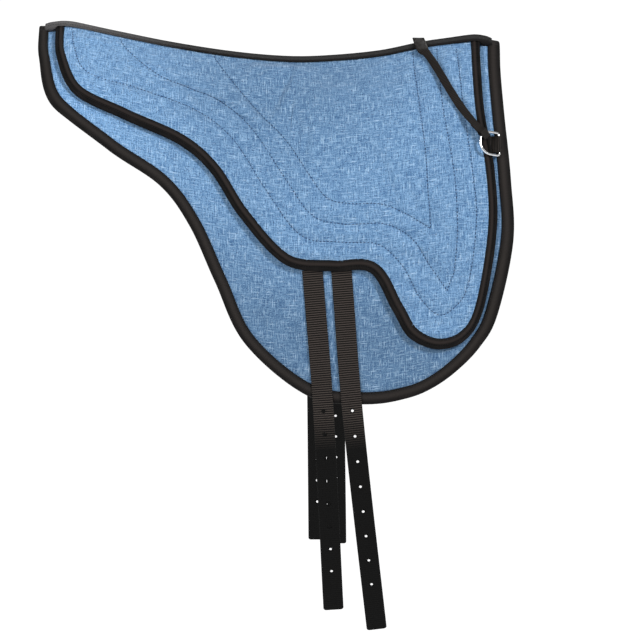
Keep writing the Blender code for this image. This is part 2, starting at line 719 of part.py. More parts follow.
def ring_tab(word, side, finishes, group, carrier, cutters):
    """Doubled webbing from under the seat, folded round the ring's bar, and its channel."""
    bar, _, _, _ = ring_frame(side)
    centre = flat(RING_SHARES)
    place, forward, downslope, outward = frame_at(centre.x, centre.y, 0.0, side)
    seat_front = seat_edge_at(centre.y) - centre.x
    under, edge = seat_front - TAB_SEWN_LENGTH, seat_front + FIT + BINDING_THICK
    bar_along, bar_height = (bar - place).dot(forward), (bar - place).dot(outward)
    low = COVER_TOP + FIT * 1.5 + TAB_THICK / 2
    high = low + TAB_THICK + FIT
    turn_radius = WIRE_DIAMETER / 2 + RING_PLAY + TAB_THICK / 2
    over_binding = bar_height - turn_radius
    points = [(under, low), (edge, low), (bar_along * TAB_LEVEL_SHARE, over_binding)]
    for index in range(2 * LOOP_STEPS + 3):
        turn = math.pi * (index / (2 * LOOP_STEPS) - 0.5)
        points.append((bar_along + turn_radius * math.cos(turn),
                       bar_height + turn_radius * math.sin(turn)))
    points += [(edge + TAB_THICK * 2, high + TAB_THICK / 2), (edge, high), (under, high)]
    middles = [place + forward * along + outward * height for along, height in points]
    name = "ring_tab_" + word
    data = ribbon(name, middles, [downslope * side] * len(middles), TAB_WIDTH, TAB_THICK)
    finish_object(name, data, material(name, *finishes["webbing"]), group, carrier)

    run = [(centre.x + along, centre.y) for along in (under - SEAT_EASE, edge + CUT_OVERRUN)]
    depth = CHANNEL_TOP - COVER_TOP + CUT_OVERRUN
    middles = [hang(*where, CHANNEL_TOP - depth / 2, side) for where in run]
    tool = "channel_tab_" + word
    data = ribbon(tool, middles, [downslope] * len(middles), TAB_WIDTH + 2 * SEAT_EASE, depth)
    return cutter_object(tool, data, cutters)


def seat_edge_at(drop):
    """How far forward the seat's front edge reaches at a drop."""
    low, high = pattern_line(SEAT_EDGE, len(SPAN_STEPS)), None
    for place in reversed(stations(False)):
        low, high = pattern_line(SEAT_EDGE, place), low
        if low.y > drop:
            break
    return low.x + (high.x - low.x) * (drop - low.y) / (high.y - low.y)


def spine_stations(rear_end, front_end):
    """Places along the spine that follow the base panel's mesh, between two ends."""
    core = [places[-1].x for places in BASE_PLACES[1:-1:CORE_STRIDE]]
    knots = ([place.x for place in BASE_PLACES[0]] + core
             + [place.x for place in reversed(BASE_PLACES[-1])])
    return [rear_end] + [x for x in knots if rear_end < x < front_end] + [front_end]


def across_spine(x, half_width, height, lift):
    """Places across the spine from edge to edge, at a height over the lining's inner face."""
    near = [on_facets(x, half_width, height + lift, -1), on_facets(x, SPINE_SETBACK, height, -1)]
    far = [on_facets(x, SPINE_SETBACK, height, 1), on_facets(x, half_width, height + lift, 1)]
    rise = (near[1] - near[0]).z / (half_width - SPINE_SETBACK) * SPINE_SETBACK / 2
    middle = (near[1] + far[0]) / 2 + Vector((0, 0, rise))
    return near + [middle] + far


def spine_pieces(finishes, group):
    """The tape over the spine, which steps down off the seat at both ends, and the gullet strip."""
    seat_rear, seat_front = BASE_PLACES[0][len(BASE_ROWS)].x, BASE_PLACES[-1][len(BASE_ROWS)].x
    rear_end = BASE_PLACES[0][1].x + SEAT_EASE
    front_end = BASE_PLACES[-1][1].x - SEAT_EASE
    step_down = SEAT_EASE + FIT
    low, high = COVER_TOP + FIT * 2, QUILT_EDGE_TOP + FIT * 2
    on_seat = spine_stations(seat_rear - FIT, seat_front + FIT)
    run = [(rear_end, low), (seat_rear - step_down, high)] + [(x, high) for x in on_seat]
    run += [(seat_front + step_down, high), (front_end, low)]
    lows = [across_spine(x, TAPE_WIDTH / 2, height, TAPE_EDGE_LIFT) for x, height in run]
    highs = [across_spine(x, TAPE_WIDTH / 2, height + TAPE_THICK, TAPE_EDGE_LIFT)
             for x, height in run]
    data = sheet("spine_tape", len(run) - 1, 4,
                 lambda column, row: lows[column][row], lambda column, row: highs[column][row])
    finish_object("spine_tape", data, material("spine_tape", *finishes["binding"]), group)

    places = spine_stations(rear_end + TAPE_EDGE_LIFT, front_end - TAPE_EDGE_LIFT)
    highs = [across_spine(x, GULLET_WIDTH / 2, -FIT * 2, 0.0) for x in places]
    lows = [across_spine(x, GULLET_WIDTH / 2, -FIT * 2 - GULLET_THICK, 0.0) for x in places]
    data = sheet("spine_lining", len(places) - 1, 4,
                 lambda column, row: lows[column][row], lambda column, row: highs[column][row])
    finish_object("spine_lining", data, material("spine_lining", *finishes["lining"]), group)


def handle_half(side):
    """The handle from the spine to its folded end at one ring: middles and outward looks."""
    bar, crown, down, out = ring_frame(side)
    pull = crown * math.cos(HANDLE_PULL) - down * math.sin(HANDLE_PULL)
    hold = bar + crown * RING_STRAIGHT + pull * RING_HALF_WIDTH
    turn_radius = WIRE_DIAMETER / 2 + RING_PLAY + HANDLE_THICK / 2
    ply = (HANDLE_THICK + FIT) / 2
    past = WIRE_DIAMETER
    meet = past + turn_radius * 2
    tail_end = meet + HANDLE_TAIL
    flat_points = [flat(shares) for shares in HANDLE_SHARES]
    middles, outwards = [], []
    for index in range(1, HANDLE_STEPS):
        where = spline(flat_points, (len(flat_points) - 1) * index / HANDLE_STEPS)
        place, _, _, outward = frame_at(where.x, where.y, HANDLE_MIDDLE, side)
        middles.append(place)
        outwards.append(outward)
    fold = [(tail_end + ply, ply), (meet, ply), (past, turn_radius)]
    for index in range(2 * LOOP_STEPS + 1):
        turn = math.pi * (0.5 - index / (2 * LOOP_STEPS))
        fold.append((-HANDLE_LOOP_SLACK - turn_radius * math.cos(turn),
                     turn_radius * math.sin(turn)))
    fold += [(past, -turn_radius), (meet, -ply), (tail_end, -ply)]
    fold = [(along, height - max(along - past, 0) * math.tan(HANDLE_DROOP))
            for along, height in fold]
    last = len(fold) - 1
    for index, (along, height) in enumerate(fold):
        middles.append(hold + pull * along + out * height)
        before, after = fold[max(index - 1, 0)], fold[min(index + 1, last)]
        run, rise = before[0] - after[0], before[1] - after[1]
        outwards.append((out * run - pull * rise).normalized())
    return middles, outwards


def grab_handle(finishes, group):
    """Webbing from ring to ring over the spine, folded round each ring's crown and sewn."""
    near, near_looks = handle_half(-1)
    far, far_looks = handle_half(1)
    tape_top = across_spine(flat(HANDLE_SHARES[0]).x, TAPE_WIDTH / 2,
                            QUILT_EDGE_TOP + FIT * 2 + TAPE_THICK, 0.0)[2]
    peak = tape_top + Vector((0, 0, HANDLE_ARCH))
    middles = near[::-1] + [peak] + far
    outwards = near_looks[::-1] + [Vector((0, 0, 1))] + far_looks
    data = ribbon("grab_handle", middles, squares(middles, outwards), HANDLE_WIDTH, HANDLE_THICK)
    finish_object("grab_handle", data, material("grab_handle", *finishes["webbing"]), group)


def fold_axis():
    """Two points of the line that both halves turn about, in the tape over the seat's ends."""
    ends = [places[len(BASE_ROWS)].x for places in (BASE_PLACES[0], BASE_PLACES[-1])]
    return [across_spine(x, TAPE_WIDTH / 2, QUILT_EDGE_TOP, 0.0)[2] for x in ends]


def build():
    for item in list(bpy.data.objects):
        bpy.data.objects.remove(item)
    group = bpy.data.collections.new("bareback_pad")
    cutters = bpy.data.collections.new("cutters")
    bpy.context.scene.collection.children.link(group)
    bpy.context.scene.collection.children.link(cutters)
    finishes = {
        "denim": (DENIM, 0.85), "quilt": (PALE_DENIM, 0.85), "lining": (LINING_GREY, 0.9),
        "foam": (FOAM_GREY, 0.95), "binding": (BINDING_BLACK, 0.75),
        "webbing": (WEBBING_BLACK, 0.6), "chrome": (CHROME, 0.12, 1.0),
    }
    rear, front = fold_axis()
    for word, side in SIDES.items():
        fold = empty("axis_fold_" + word, rear.lerp(front, 0.5), group)
        base_panel(word, side, finishes, group, fold)
        channels = [ring_tab(word, side, finishes, group, fold, cutters)]
        for end in ("front", "rear"):
            name = end + "_" + word
            channels.append(sewn_web(name, side, finishes, group, fold, cutters))
            billet(name, side, finishes, group, fold, cutters)
        seat_panel(word, side, finishes, group, fold, channels)
        d_ring(word, side, finishes, group, fold)
    spine_pieces(finishes, group)
    grab_handle(finishes, group)


build()
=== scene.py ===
"""Bareback pad: the cloth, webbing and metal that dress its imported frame.

X runs forwards along the horse's back, Y to the horse's left and Z up. Every cloth is laid out
flat first, as x along the spine and drop down from the spine, then draped at its height above
the lining's inner face.
"""

from math import cos, pi, radians, sin, tan

import bmesh
import bpy
import numpy as np
from mathutils import Matrix, Vector


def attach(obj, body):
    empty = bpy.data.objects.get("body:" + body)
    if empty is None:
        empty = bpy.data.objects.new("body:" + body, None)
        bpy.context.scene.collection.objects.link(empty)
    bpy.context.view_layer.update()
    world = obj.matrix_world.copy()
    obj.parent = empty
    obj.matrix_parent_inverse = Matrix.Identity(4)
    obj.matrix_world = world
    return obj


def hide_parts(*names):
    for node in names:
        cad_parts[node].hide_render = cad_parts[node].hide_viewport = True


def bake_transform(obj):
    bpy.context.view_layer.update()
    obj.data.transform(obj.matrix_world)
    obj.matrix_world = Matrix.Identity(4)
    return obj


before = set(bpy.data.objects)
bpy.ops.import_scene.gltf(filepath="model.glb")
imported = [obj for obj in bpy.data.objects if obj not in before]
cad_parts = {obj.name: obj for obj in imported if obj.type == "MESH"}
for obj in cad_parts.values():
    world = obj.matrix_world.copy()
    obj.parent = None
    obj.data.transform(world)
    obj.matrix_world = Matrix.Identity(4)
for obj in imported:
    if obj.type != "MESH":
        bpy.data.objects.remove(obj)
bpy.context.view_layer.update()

SIDES = {"right": -1, "left": 1}

# Pattern of one half, as in the part's source, in metres
PAD_LENGTH = 0.700
PAD_DROP = 0.531
SPINE_SETBACK = 0.006
SPINE_RISE = 0.052
REAR_SLOPE = radians(58)
FRONT_SLOPE = radians(46)
FLAP_SLOPE = radians(6)
BEND_REACH = 0.340
BEND_STEPS = 24
RIDGE_ROUND = 0.014
SPINE_SHARES = np.array([
    (0.0, 0.99), (0.03, 0.97), (0.075, 0.955), (0.165, 0.71), (0.28, 0.40), (0.41, 0.13),
    (0.52, 0.0), (0.60, 0.01), (0.72, 0.16), (0.82, 0.43), (0.91, 0.575), (0.957, 0.585),
    (1.0, 0.49),
])

# Where 20 stations, from rear to front, cross the five pattern lines: thousandths of the length
# and of the drop, for the skirt's edge, the seat's edge and the three lines of quilting
STATION_SHARES = np.array([
    (0, 0, 36, 0, 71, 0, 164, 0, 364, 0),
    (7, 114, 45, 121, 79, 84, 194, 57, 389, 55),
    (40, 274, 84, 238, 110, 167, 254, 118, 429, 131),
    (157, 375, 186, 281, 213, 182, 320, 145, 471, 198),
    (264, 441, 299, 318, 329, 211, 379, 168, 509, 248),
    (326, 536, 368, 379, 410, 278, 448, 238, 537, 293),
    (378, 678, 429, 488, 480, 406, 525, 381, 570, 360),
    (439, 837, 520, 603, 554, 525, 578, 472, 608, 426),
    (569, 970, 619, 623, 636, 546, 642, 498, 654, 444),
    (678, 1000, 699, 634, 716, 561, 728, 507, 721, 453),
    (772, 1002, 746, 747, 768, 636, 785, 561, 771, 489),
    (823, 988, 781, 832, 799, 722, 818, 634, 796, 514),
    (875, 948, 837, 876, 839, 782, 858, 718, 823, 541),
    (926, 882, 895, 859, 875, 764, 866, 688, 822, 515),
    (962, 791, 933, 773, 902, 703, 873, 656, 821, 489),
    (994, 579, 959, 559, 918, 532, 879, 541, 817, 427),
    (989, 411, 955, 398, 910, 397, 872, 401, 813, 331),
    (978, 236, 936, 236, 894, 228, 851, 217, 802, 199),
    (973, 93, 931, 93, 886, 84, 843, 74, 793, 74),
    (974, 0, 931, 0, 881, 0, 841, 0, 790, 0),
]).reshape(-1, 5, 2) / 1000
CORE_SHARES = (0.500, 0.700)
LAST_STATION = len(STATION_SHARES) - 1
BASE_EDGE, SEAT_EDGE, OUTER_QUILT, MIDDLE_QUILT, INNER_QUILT, CORE = range(6)
QUILTING = (OUTER_QUILT, MIDDLE_QUILT, INNER_QUILT)
QUILTING_SEAMS = tuple((line, 0.0) for line in QUILTING)

# Stations where the quilting turns in a point, for each line that does
POINTED = {MIDDLE_QUILT: 12, INNER_QUILT: 12}

# How finely pieces are built: steps in each span, sections along a piece, and spacings
SEAM_STEPS, SEAM_SPACING = 60, 0.0025
PATH_STEPS, WEBBING_SPACING, TAB_SPACING = 24, 0.0030, 0.0008
SKIRT_STEPS, SEAT_STEPS = 14, 22
BINDING_SECTIONS, RIDGE_SECTIONS, RIDGE_ROWS = 420, 180, 25
BINDING_STITCH_POINTS, QUILTING_STITCH_POINTS, RIDGE_STITCH_POINTS = 500, 600, 400

# Heights above the lining's inner face
LINING_TOP = 0.0010
COVER_TOP = 0.0062
BASE_BINDING_LOW = -0.0015
BASE_BINDING_TOP = 0.0077
WEB_LOW = 0.0070
SEAT_BINDING_LOW = 0.0068
SEAT_LOW = 0.0096
SEAT_EDGE_TOP = 0.0130
SEAT_BINDING_TOP = 0.0146
CHANNEL_TOP = 0.0134
TAPE_LIP = 0.0150
TAPE_END_LOW = 0.0050
TAPE_END_TOP = 0.0082
GULLET_LOW = -0.0018
HANDLE_MIDDLE = 0.0212

# How far cloth lies clear of the cloth under it
CLEARANCE = 0.0003
OVER_BINDING = 0.0008

# Bindings, ridge tape and gullet strip
BASE_BINDING_WIDTH = 0.0170
SEAT_BINDING_WIDTH = 0.0150
BINDING_OUTSIDE = 0.0015
STITCH_INSET = 0.0021
GROOVE_INSET = 0.0047
TAPE_HALF = 0.0090
TAPE_THICK = 0.0013
TAPE_EDGE_LIFT = 0.0010
GULLET_HALF = 0.0300
GULLET_THICK = 0.0012

# Depths of the grid's rows from an edge, crowded where a binding's inner edge lies on the cloth
SKIRT_HEMS = (0.0, 0.008, 0.0135, 0.0150, 0.0163, 0.0178, 0.0195)
SEAT_HEMS = (0.0, 0.007, 0.0125, 0.0138, 0.0148, 0.0158, 0.0172)

# How high padding lifts cloth beside a seam, and over what reach; the seat rises on further in
SKIRT_PUFF, SKIRT_PUFF_REACH = 0.0020, 0.0055
SEAT_PUFF, SEAT_PUFF_REACH = 0.0030, 0.0060
SEAT_LOFT, SEAT_LOFT_REACH = 0.0016, 0.050

# How the padding swells the seat: its push, the spare cloth and how far the cloth may move
PADDING_PUSH = 1.8
SPARE_CLOTH = 0.015
MOST_SWELL = 0.0035
SWELL_FRAMES = 20

# Billets: how far each falls below the hem, and where along the pad its middle lies at the
# seat's edge, at the hem and at its tip
WEBBING_WIDTH = 0.0300
WEBBING_THICK = 0.0022
WEB_THICK = 0.0020
WEB_SEWN_LENGTH = 0.100
BILLET_GAP = 0.0013
BILLET_CURL = radians(-7)
BILLET_FALLS = {"rear_right": 0.310, "front_right": 0.343, "rear_left": 0.310, "front_left": 0.317}
BILLET_SHARES = {
    "rear_right": (0.579, 0.601, 0.623),
    "front_right": (0.639, 0.661, 0.715),
    "rear_left": (0.579, 0.585, 0.589),
    "front_left": (0.639, 0.622, 0.628),
}
SEAT_EDGE_DROP = SPINE_SETBACK + 0.632 * (PAD_DROP - SPINE_SETBACK)
HEM_DROP = SPINE_SETBACK + 1.006 * (PAD_DROP - SPINE_SETBACK)
TIP_CORNER = 0.0030
HOLE_DIAMETER = 0.0050
HOLE_COUNT = 8
RIM_RADIUS = 0.0005
PUNCH_LENGTH = 0.0080
HEM_TO_HOLE = 0.0040
HOLE_TO_TIP = {"rear": 0.0620, "front": 0.0730}

# D-rings, their tabs and the handle
RING_SHARES = (0.946, 0.3245)
WIRE_RADIUS = 0.0019
RING_HALF_WIDTH = 0.0170
RING_STRAIGHT = 0.0140
RING_CORNER = 0.0040
RING_TILT = radians(22)
RING_PLAY = 0.00035
TAB_WIDTH = 0.0250
TAB_THICK = 0.0012
TAB_SEWN_LENGTH = 0.0120
HANDLE_SHARES = [(0.803, 0.0), (0.826, 0.052), (0.866, 0.170), (0.904, 0.261)]
HANDLE_PULL = radians(49)
HANDLE_WIDTH = 0.0180
HANDLE_THICK = 0.0016
HANDLE_ARCH = 0.0055
HANDLE_TAIL = 0.0100
HANDLE_DROOP = radians(18)
HANDLE_LOOP_SLACK = 0.0050
HANDLE_STEPS = 8
HANDLE_FINENESS = 8

# Where the handle is gathered over the seat, how much narrower it is and how much thicker
HANDLE_NARROWED, HANDLE_THICKENED = 0.32, 0.7


# Draping

def unit(vectors):
    return vectors / np.linalg.norm(vectors, axis=-1, keepdims=True)


def stepped(spans, steps):
    """Places over a number of spans, with so many steps in each."""
    return np.linspace(0, spans, spans * steps + 1)


def hermite(part, here, leaving, there, arriving):
    """A cubic from here to there, with the slopes at which it leaves and arrives."""
    square, cube = part ** 2, part ** 3
    return (here * (2 * cube - 3 * square + 1) + leaving * (cube - 2 * square + part)
            + there * (3 * square - 2 * cube) + arriving * (cube - square))


def spline(points, places, pointed=None):
    """Points at places, counted in spans, on a smooth curve that may turn sharply at one."""
    points, places = np.asarray(points, float), np.asarray(places, float)
    span = np.clip(places.astype(int), 0, len(points) - 2)
    part = (places - span)[..., None]
    here, there = points[span], points[span + 1]
    starts = (span == 0) | (span == pointed)
    ends = (span + 2 == len(points)) | (span + 1 == pointed)
    before = np.where(starts[..., None], here * 2 - there, points[np.maximum(span - 1, 0)])
    after = np.where(ends[..., None], there * 2 - here,
                     points[np.minimum(span + 2, len(points) - 1)])
    return hermite(part, here, (there - before) / 2, there, (after - here) / 2)


def value_at(table, place):
    """The smooth value of a table of (place, value) pairs."""
    table, place = np.asarray(table, float), np.asarray(place, float)
    keys, values = table[:, 0], table[:, 1]
    low = np.maximum(np.arange(len(keys)) - 1, 0)
    high = np.minimum(np.arange(len(keys)) + 1, len(keys) - 1)
    steep = (values[high] - values[low]) / (keys[high] - keys[low])
    span = np.clip(np.searchsorted(keys, place) - 1, 0, len(keys) - 2)
    width = keys[span + 1] - keys[span]
    part = np.clip((place - keys[span]) / width, 0, 1)
    return hermite(part, values[span], steep[span] * width, values[span + 1],
                   steep[span + 1] * width)


def smooth(part):
    part = np.clip(part, 0, 1)
    return part * part * (3 - 2 * part)


def distances(points):
    """How far along a run of points each one lies."""
    return np.concatenate([[0], np.cumsum(np.linalg.norm(np.diff(points, axis=0), axis=1))])


def along_run(wanted, lengths, points):
    """The places that lie at the wanted lengths along a run of points."""
    return np.stack([np.interp(wanted, lengths, column) for column in points.T], axis=-1)


def spread(points, spacing, ends):
    """Points spread evenly along a run, ends more of them than it has whole spacings."""
    lengths = distances(points)
    count = int(lengths[-1] / spacing) + ends
    return along_run(np.linspace(0, lengths[-1], count), lengths, points)


def slope_at(x, drop):
    along = np.clip(x / PAD_LENGTH + 0.5, 0, 1)
    ridge = REAR_SLOPE + (FRONT_SLOPE - REAR_SLOPE) * along
    reach = np.clip(drop / BEND_REACH, 0, 1)
    return FLAP_SLOPE + (ridge - FLAP_SLOPE) * (1 + np.cos(np.pi * reach)) / 2


def drape(flat_places, height, side):
    """Flat places (x, drop), draped. The cloth rounds over the ridge and has no edge there."""
    x, drop = flat_places[..., 0], flat_places[..., 1]
    height = np.broadcast_to(height, x.shape)
    out, down = np.zeros(x.shape), np.zeros(x.shape)
    step = drop / BEND_STEPS
    for index in range(BEND_STEPS):
        slope = slope_at(x, (index + 0.5) * step)
        out += np.sin(slope) * step
        down += np.cos(slope) * step
    slope = slope_at(x, drop)
    look = np.pi / 2 + (slope - np.pi / 2) * smooth(drop / RIDGE_ROUND)
    out = out + height * np.cos(look)
    rise = height * np.sin(look)
    ridge = SPINE_RISE * value_at(SPINE_SHARES, x / PAD_LENGTH + 0.5)
    return np.stack([x, side * out, ridge - down + rise], axis=-1)


def drape_frame(x, drop, height, side):
    """Place, forward, downslope and outward directions on the draped cloth, clear of the ridge."""
    nudge = 0.0003
    spots = np.array([(x, drop), (x + nudge, drop), (x, drop + nudge)], float)
    place, ahead, below = (Vector(spot) for spot in drape(spots, height, side))
    forward, downslope = (ahead - place).normalized(), (below - place).normalized()
    return place, forward, downslope, forward.cross(downslope) * side


def flat(shares):
    shares = np.asarray(shares, float)
    return np.stack([(shares[..., 0] - 0.5) * PAD_LENGTH,
                     SPINE_SETBACK + shares[..., 1] * (PAD_DROP - SPINE_SETBACK)], axis=-1)


def close_ridge(places):
    """The pattern's top edge, drawn up so that both halves meet at the ridge."""
    drop = places[..., 1]
    drawn = drop - SPINE_SETBACK * np.exp(-(drop - SPINE_SETBACK) / 0.010)
    return np.stack([places[..., 0], np.maximum(drawn, 0)], axis=-1)


def pattern_line(line, places):
    places = np.asarray(places, float)
    if line < CORE:
        return flat(spline(STATION_SHARES[:, line], places, POINTED.get(line)))
    rear, front = CORE_SHARES
    along = rear + (front - rear) * np.maximum(places, 1) / LAST_STATION
    return flat(np.stack([along, np.zeros_like(along)], axis=-1))


def inwards(places, line):
    """Unit step from an edge into the pattern, square to the edge."""
    nudge = 0.02
    run = unit(pattern_line(line, np.minimum(places + nudge, LAST_STATION))
               - pattern_line(line, np.maximum(places - nudge, 0)))
    into = np.stack([run[:, 1], -run[:, 0]], axis=-1)
    level = smooth(np.minimum(places, LAST_STATION - places) / 0.5)[:, None]
    flat_in = np.stack([np.sign(into[:, 0]), np.zeros(len(places))], axis=-1)
    return unit(into * level + flat_in * (1 - level))


def clustered(count):
    """Shares from 0 to 1 that crowd towards both ends, where cloth dips into its seams."""
    return (1 - np.cos(np.pi * np.arange(count + 1) / count)) / 2


def band_grid(bands, steps, hems):
    """Flat places on a grid between pattern lines, closed at the ridge.

    bands are (line, next line, rows between them). hems are the depths of the extra rows along
    the first line, where a binding lies over it.
    """
    places = stepped(LAST_STATION, steps)
    edge = pattern_line(bands[0][0], places)
    into = inwards(places, bands[0][0])
    rows = [edge + into * depth for depth in hems[:-1]]
    near = edge + into * hems[-1]
    for line, until, count in bands:
        if line != bands[0][0]:
            near = pattern_line(line, places)
        far = pattern_line(until, places)
        rows += [near + (far - near) * share for share in clustered(count)[:-1]]
    rows.append(pattern_line(bands[-1][1], places))
    return close_ridge(np.stack(rows, axis=1))


def beside(line, places, into):
    """Flat places that lie so far into the pattern from one of its lines."""
    return close_ridge(pattern_line(line, places) + inwards(places, line) * into)


def from_seams(grid, *seams):
    """Distance from each flat place to the nearest seam, and how far along that seam it is.

    A seam is a pattern line and how far into the pattern from it the seam lies.
    """
    runs = [spread(beside(line, stepped(LAST_STATION, SEAM_STEPS), into), SEAM_SPACING, 2)
            for line, into in seams]
    marks = np.concatenate([np.arange(len(run)) * SEAM_SPACING for run in runs])
    points, reach, along = np.concatenate(runs), [], []
    for part in np.array_split(grid.reshape(-1, 2), grid.size // 8000 + 1):
        gaps = np.linalg.norm(part[:, None, :] - points, axis=2)
        reach.append(gaps.min(axis=1))
        along.append(marks[gaps.argmin(axis=1)])
    return [np.concatenate(found).reshape(grid.shape[:2]) for found in (reach, along)]


def ripples(grid, waves):
    """Soft uneven waves over flat places. A wave is a height, a length, a heading and a start."""
    total = np.zeros(grid.shape[:2])
    for height, length, heading, start in waves:
        run = grid[..., 0] * cos(heading) + grid[..., 1] * sin(heading)
        total += height * np.sin(2 * np.pi * run / length + start)
    return total


def thread_pull(along, pitch, drift, wander):
    """How stitches pull along a seam, from -1 to 1, at a pitch that wanders a little."""
    return np.sin(2 * np.pi * along / pitch + drift * np.sin(along / wander))


# Making pieces

def configure(thing, **values):
    for name, value in values.items():
        setattr(thing, name, value)
    return thing


def placed(name, data):
    """A new object in the scene."""
    made = bpy.data.objects.new(name, data)
    bpy.context.scene.collection.objects.link(made)
    return made


def finish_mesh(shape, name, finish, recalculate=True):
    if recalculate:
        bmesh.ops.recalc_face_normals(shape, faces=shape.faces)
    data = bpy.data.meshes.new(name)
    shape.to_mesh(data)
    shape.free()
    data.shade_smooth()
    data.materials.append(finish)
    return placed(name, data)


def baked(piece):
    """A piece's mesh with its modifiers applied."""
    bpy.context.view_layer.update()
    held = piece.evaluated_get(bpy.context.evaluated_depsgraph_get())
    return bpy.data.meshes.new_from_object(held)


def grid_spots(corners, columns, rows):
    """The column and row of each corner of a fresh grid, which spans -1 to 1 both ways."""
    return {corner: (round((corner.co.x + 1) / 2 * columns), round((corner.co.y + 1) / 2 * rows))
            for corner in corners}


def gridded(shape, columns, rows):
    bmesh.ops.create_grid(shape, x_segments=columns, y_segments=rows, size=1.0)
    return grid_spots(shape.verts, columns, rows)


def flat_map(along, across):
    """Flat places at each pair of a length along and a width across."""
    return np.stack(np.meshgrid(along, across, indexing="ij"), axis=-1)


def lay_out(shape, spots, flats):
    """The cloth's own map: where each corner lies on the flat cloth, in metres."""
    layer = shape.loops.layers.uv.new("cloth")
    for face in shape.faces:
        for loop in face.loops:
            loop[layer].uv = flats[spots[loop.vert]]


def cloth_shell(name, top, under, flats, finish):
    """A closed cloth or pad between two draped grids."""
    shape = bmesh.new()
    size = top.shape[0] - 1, top.shape[1] - 1
    spots = gridded(shape, *size)
    raised = bmesh.ops.extrude_face_region(shape, geom=shape.faces[:], use_keep_orig=True)
    upper = [item for item in raised["geom"] if isinstance(item, bmesh.types.BMVert)]
    high = set(upper)
    spots.update(grid_spots(upper, *size))
    lay_out(shape, spots, flats)
    for corner in shape.verts:
        corner.co = top[spots[corner]] if corner in high else under[spots[corner]]
    bmesh.ops.remove_doubles(shape, verts=shape.verts, dist=0.00002)
    return finish_mesh(shape, name, finish)


def loft(name, sections, finish, flats, ring=False):
    """A bar through closed sections, (section, corner, xyz); ring joins its last to its first."""
    shape = bmesh.new()
    count, corners = sections.shape[:2]
    spots = gridded(shape, count if ring else count - 1, corners)
    lay_out(shape, spots, flats)
    for corner in shape.verts:
        column, row = spots[corner]
        corner.co = sections[column % count][row % corners]
    bmesh.ops.remove_doubles(shape, verts=shape.verts, dist=0.000005)
    if not ring:
        ends = [edge for edge in shape.edges if edge.is_boundary]
        bmesh.ops.holes_fill(shape, edges=ends, sides=0)
        for edge in ends:
            edge.smooth = False
    return finish_mesh(shape, name, finish)


def arc(middle, radii, start, end, count):
    """Corners on part of an ellipse. A radius below zero turns that side of it round."""
    turns = np.linspace(start, end, count)
    return list(zip(middle[0] + radii[0] * np.cos(turns), middle[1] + radii[1] * np.sin(turns)))


def webbing_profile(width, thick):
    """Corners round a flat woven band, thinner and rounded at its two edges: (across, level)."""
    half, bend = width / 2, thick * 0.9
    one = arc((half - bend, 0), (bend, thick / 2), -pi / 2, pi / 2, 5)
    one += [(half * share, thick / 2) for share in (0.7, 0.35, 0.0, -0.35, -0.7)]
    return np.array(one + [(-across, -level) for across, level in one])


def strap(name, middles, acrosses, width, thick, finish, widths=1.0, folded=0.0):
    """Webbing along its middles. acrosses give the way across its width.

    widths is the share of its width that it has at each middle, and folded how far it is
    folded in on itself along its length, which makes its middle thicker.
    """
    middles, acrosses = np.array(middles, float), np.array(acrosses, float)
    runs = unit(np.gradient(middles, axis=0))
    acrosses = unit(acrosses - runs * np.sum(acrosses * runs, axis=1, keepdims=True))
    outs = np.cross(acrosses, runs)
    profile = webbing_profile(width, thick)
    widths, folded = (np.broadcast_to(share, len(middles))[:, None] for share in (widths, folded))
    narrow = widths * profile[None, :, 0]
    fat = 1 + folded * (1 - (2 * profile[None, :, 0] / width) ** 2)
    sections = (middles[:, None, :] + acrosses[:, None, :] * narrow[..., None]
                + outs[:, None, :] * (fat * profile[None, :, 1])[..., None])
    across = np.append(profile[:, 0], profile[0, 0]) + width / 2
    return loft(name, sections, finish, flat_map(distances(middles), across))


def even_path(points, spacing):
    """A smooth curve through points, spread evenly."""
    return spread(spline(points, stepped(len(points) - 1, PATH_STEPS)), spacing, 1)


def stitching(name, paths, finish, length=0.0026, pitch=0.0036, thick=0.0008):
    """Rows of sewn thread along paths: one stitch, repeated by Array and bent by Curve."""
    sewn = bmesh.new()
    for path in paths:
        shape = bmesh.new()
        bmesh.ops.create_uvsphere(shape, u_segments=6, v_segments=4, radius=0.5)
        bmesh.ops.rotate(shape, verts=shape.verts, matrix=Matrix.Rotation(pi / 2, 3, "Y"))
        bmesh.ops.scale(shape, verts=shape.verts, vec=(length, thick, thick))
        bmesh.ops.translate(shape, verts=shape.verts, vec=(pitch / 2, 0, 0))
        row = finish_mesh(shape, name + "_row", finish)
        line = configure(bpy.data.curves.new(name + "_line", "CURVE"), dimensions="3D")
        run = line.splines.new("POLY")
        run.points.add(len(path) - 1)
        for point, spot in zip(run.points, path):
            point.co = (*spot, 1.0)
        guide = placed(name + "_line", line)
        configure(row.modifiers.new("repeat", "ARRAY"), use_relative_offset=False,
                  use_constant_offset=True, constant_offset_displace=(pitch, 0, 0),
                  count=max(int(distances(path)[-1] / pitch), 1))
        configure(row.modifiers.new("bend", "CURVE"), object=guide)
        data = baked(row)
        sewn.from_mesh(data)
        bpy.data.meshes.remove(data)
        bpy.data.objects.remove(row)
        bpy.data.objects.remove(guide)
    return finish_mesh(sewn, name, finish, recalculate=False)


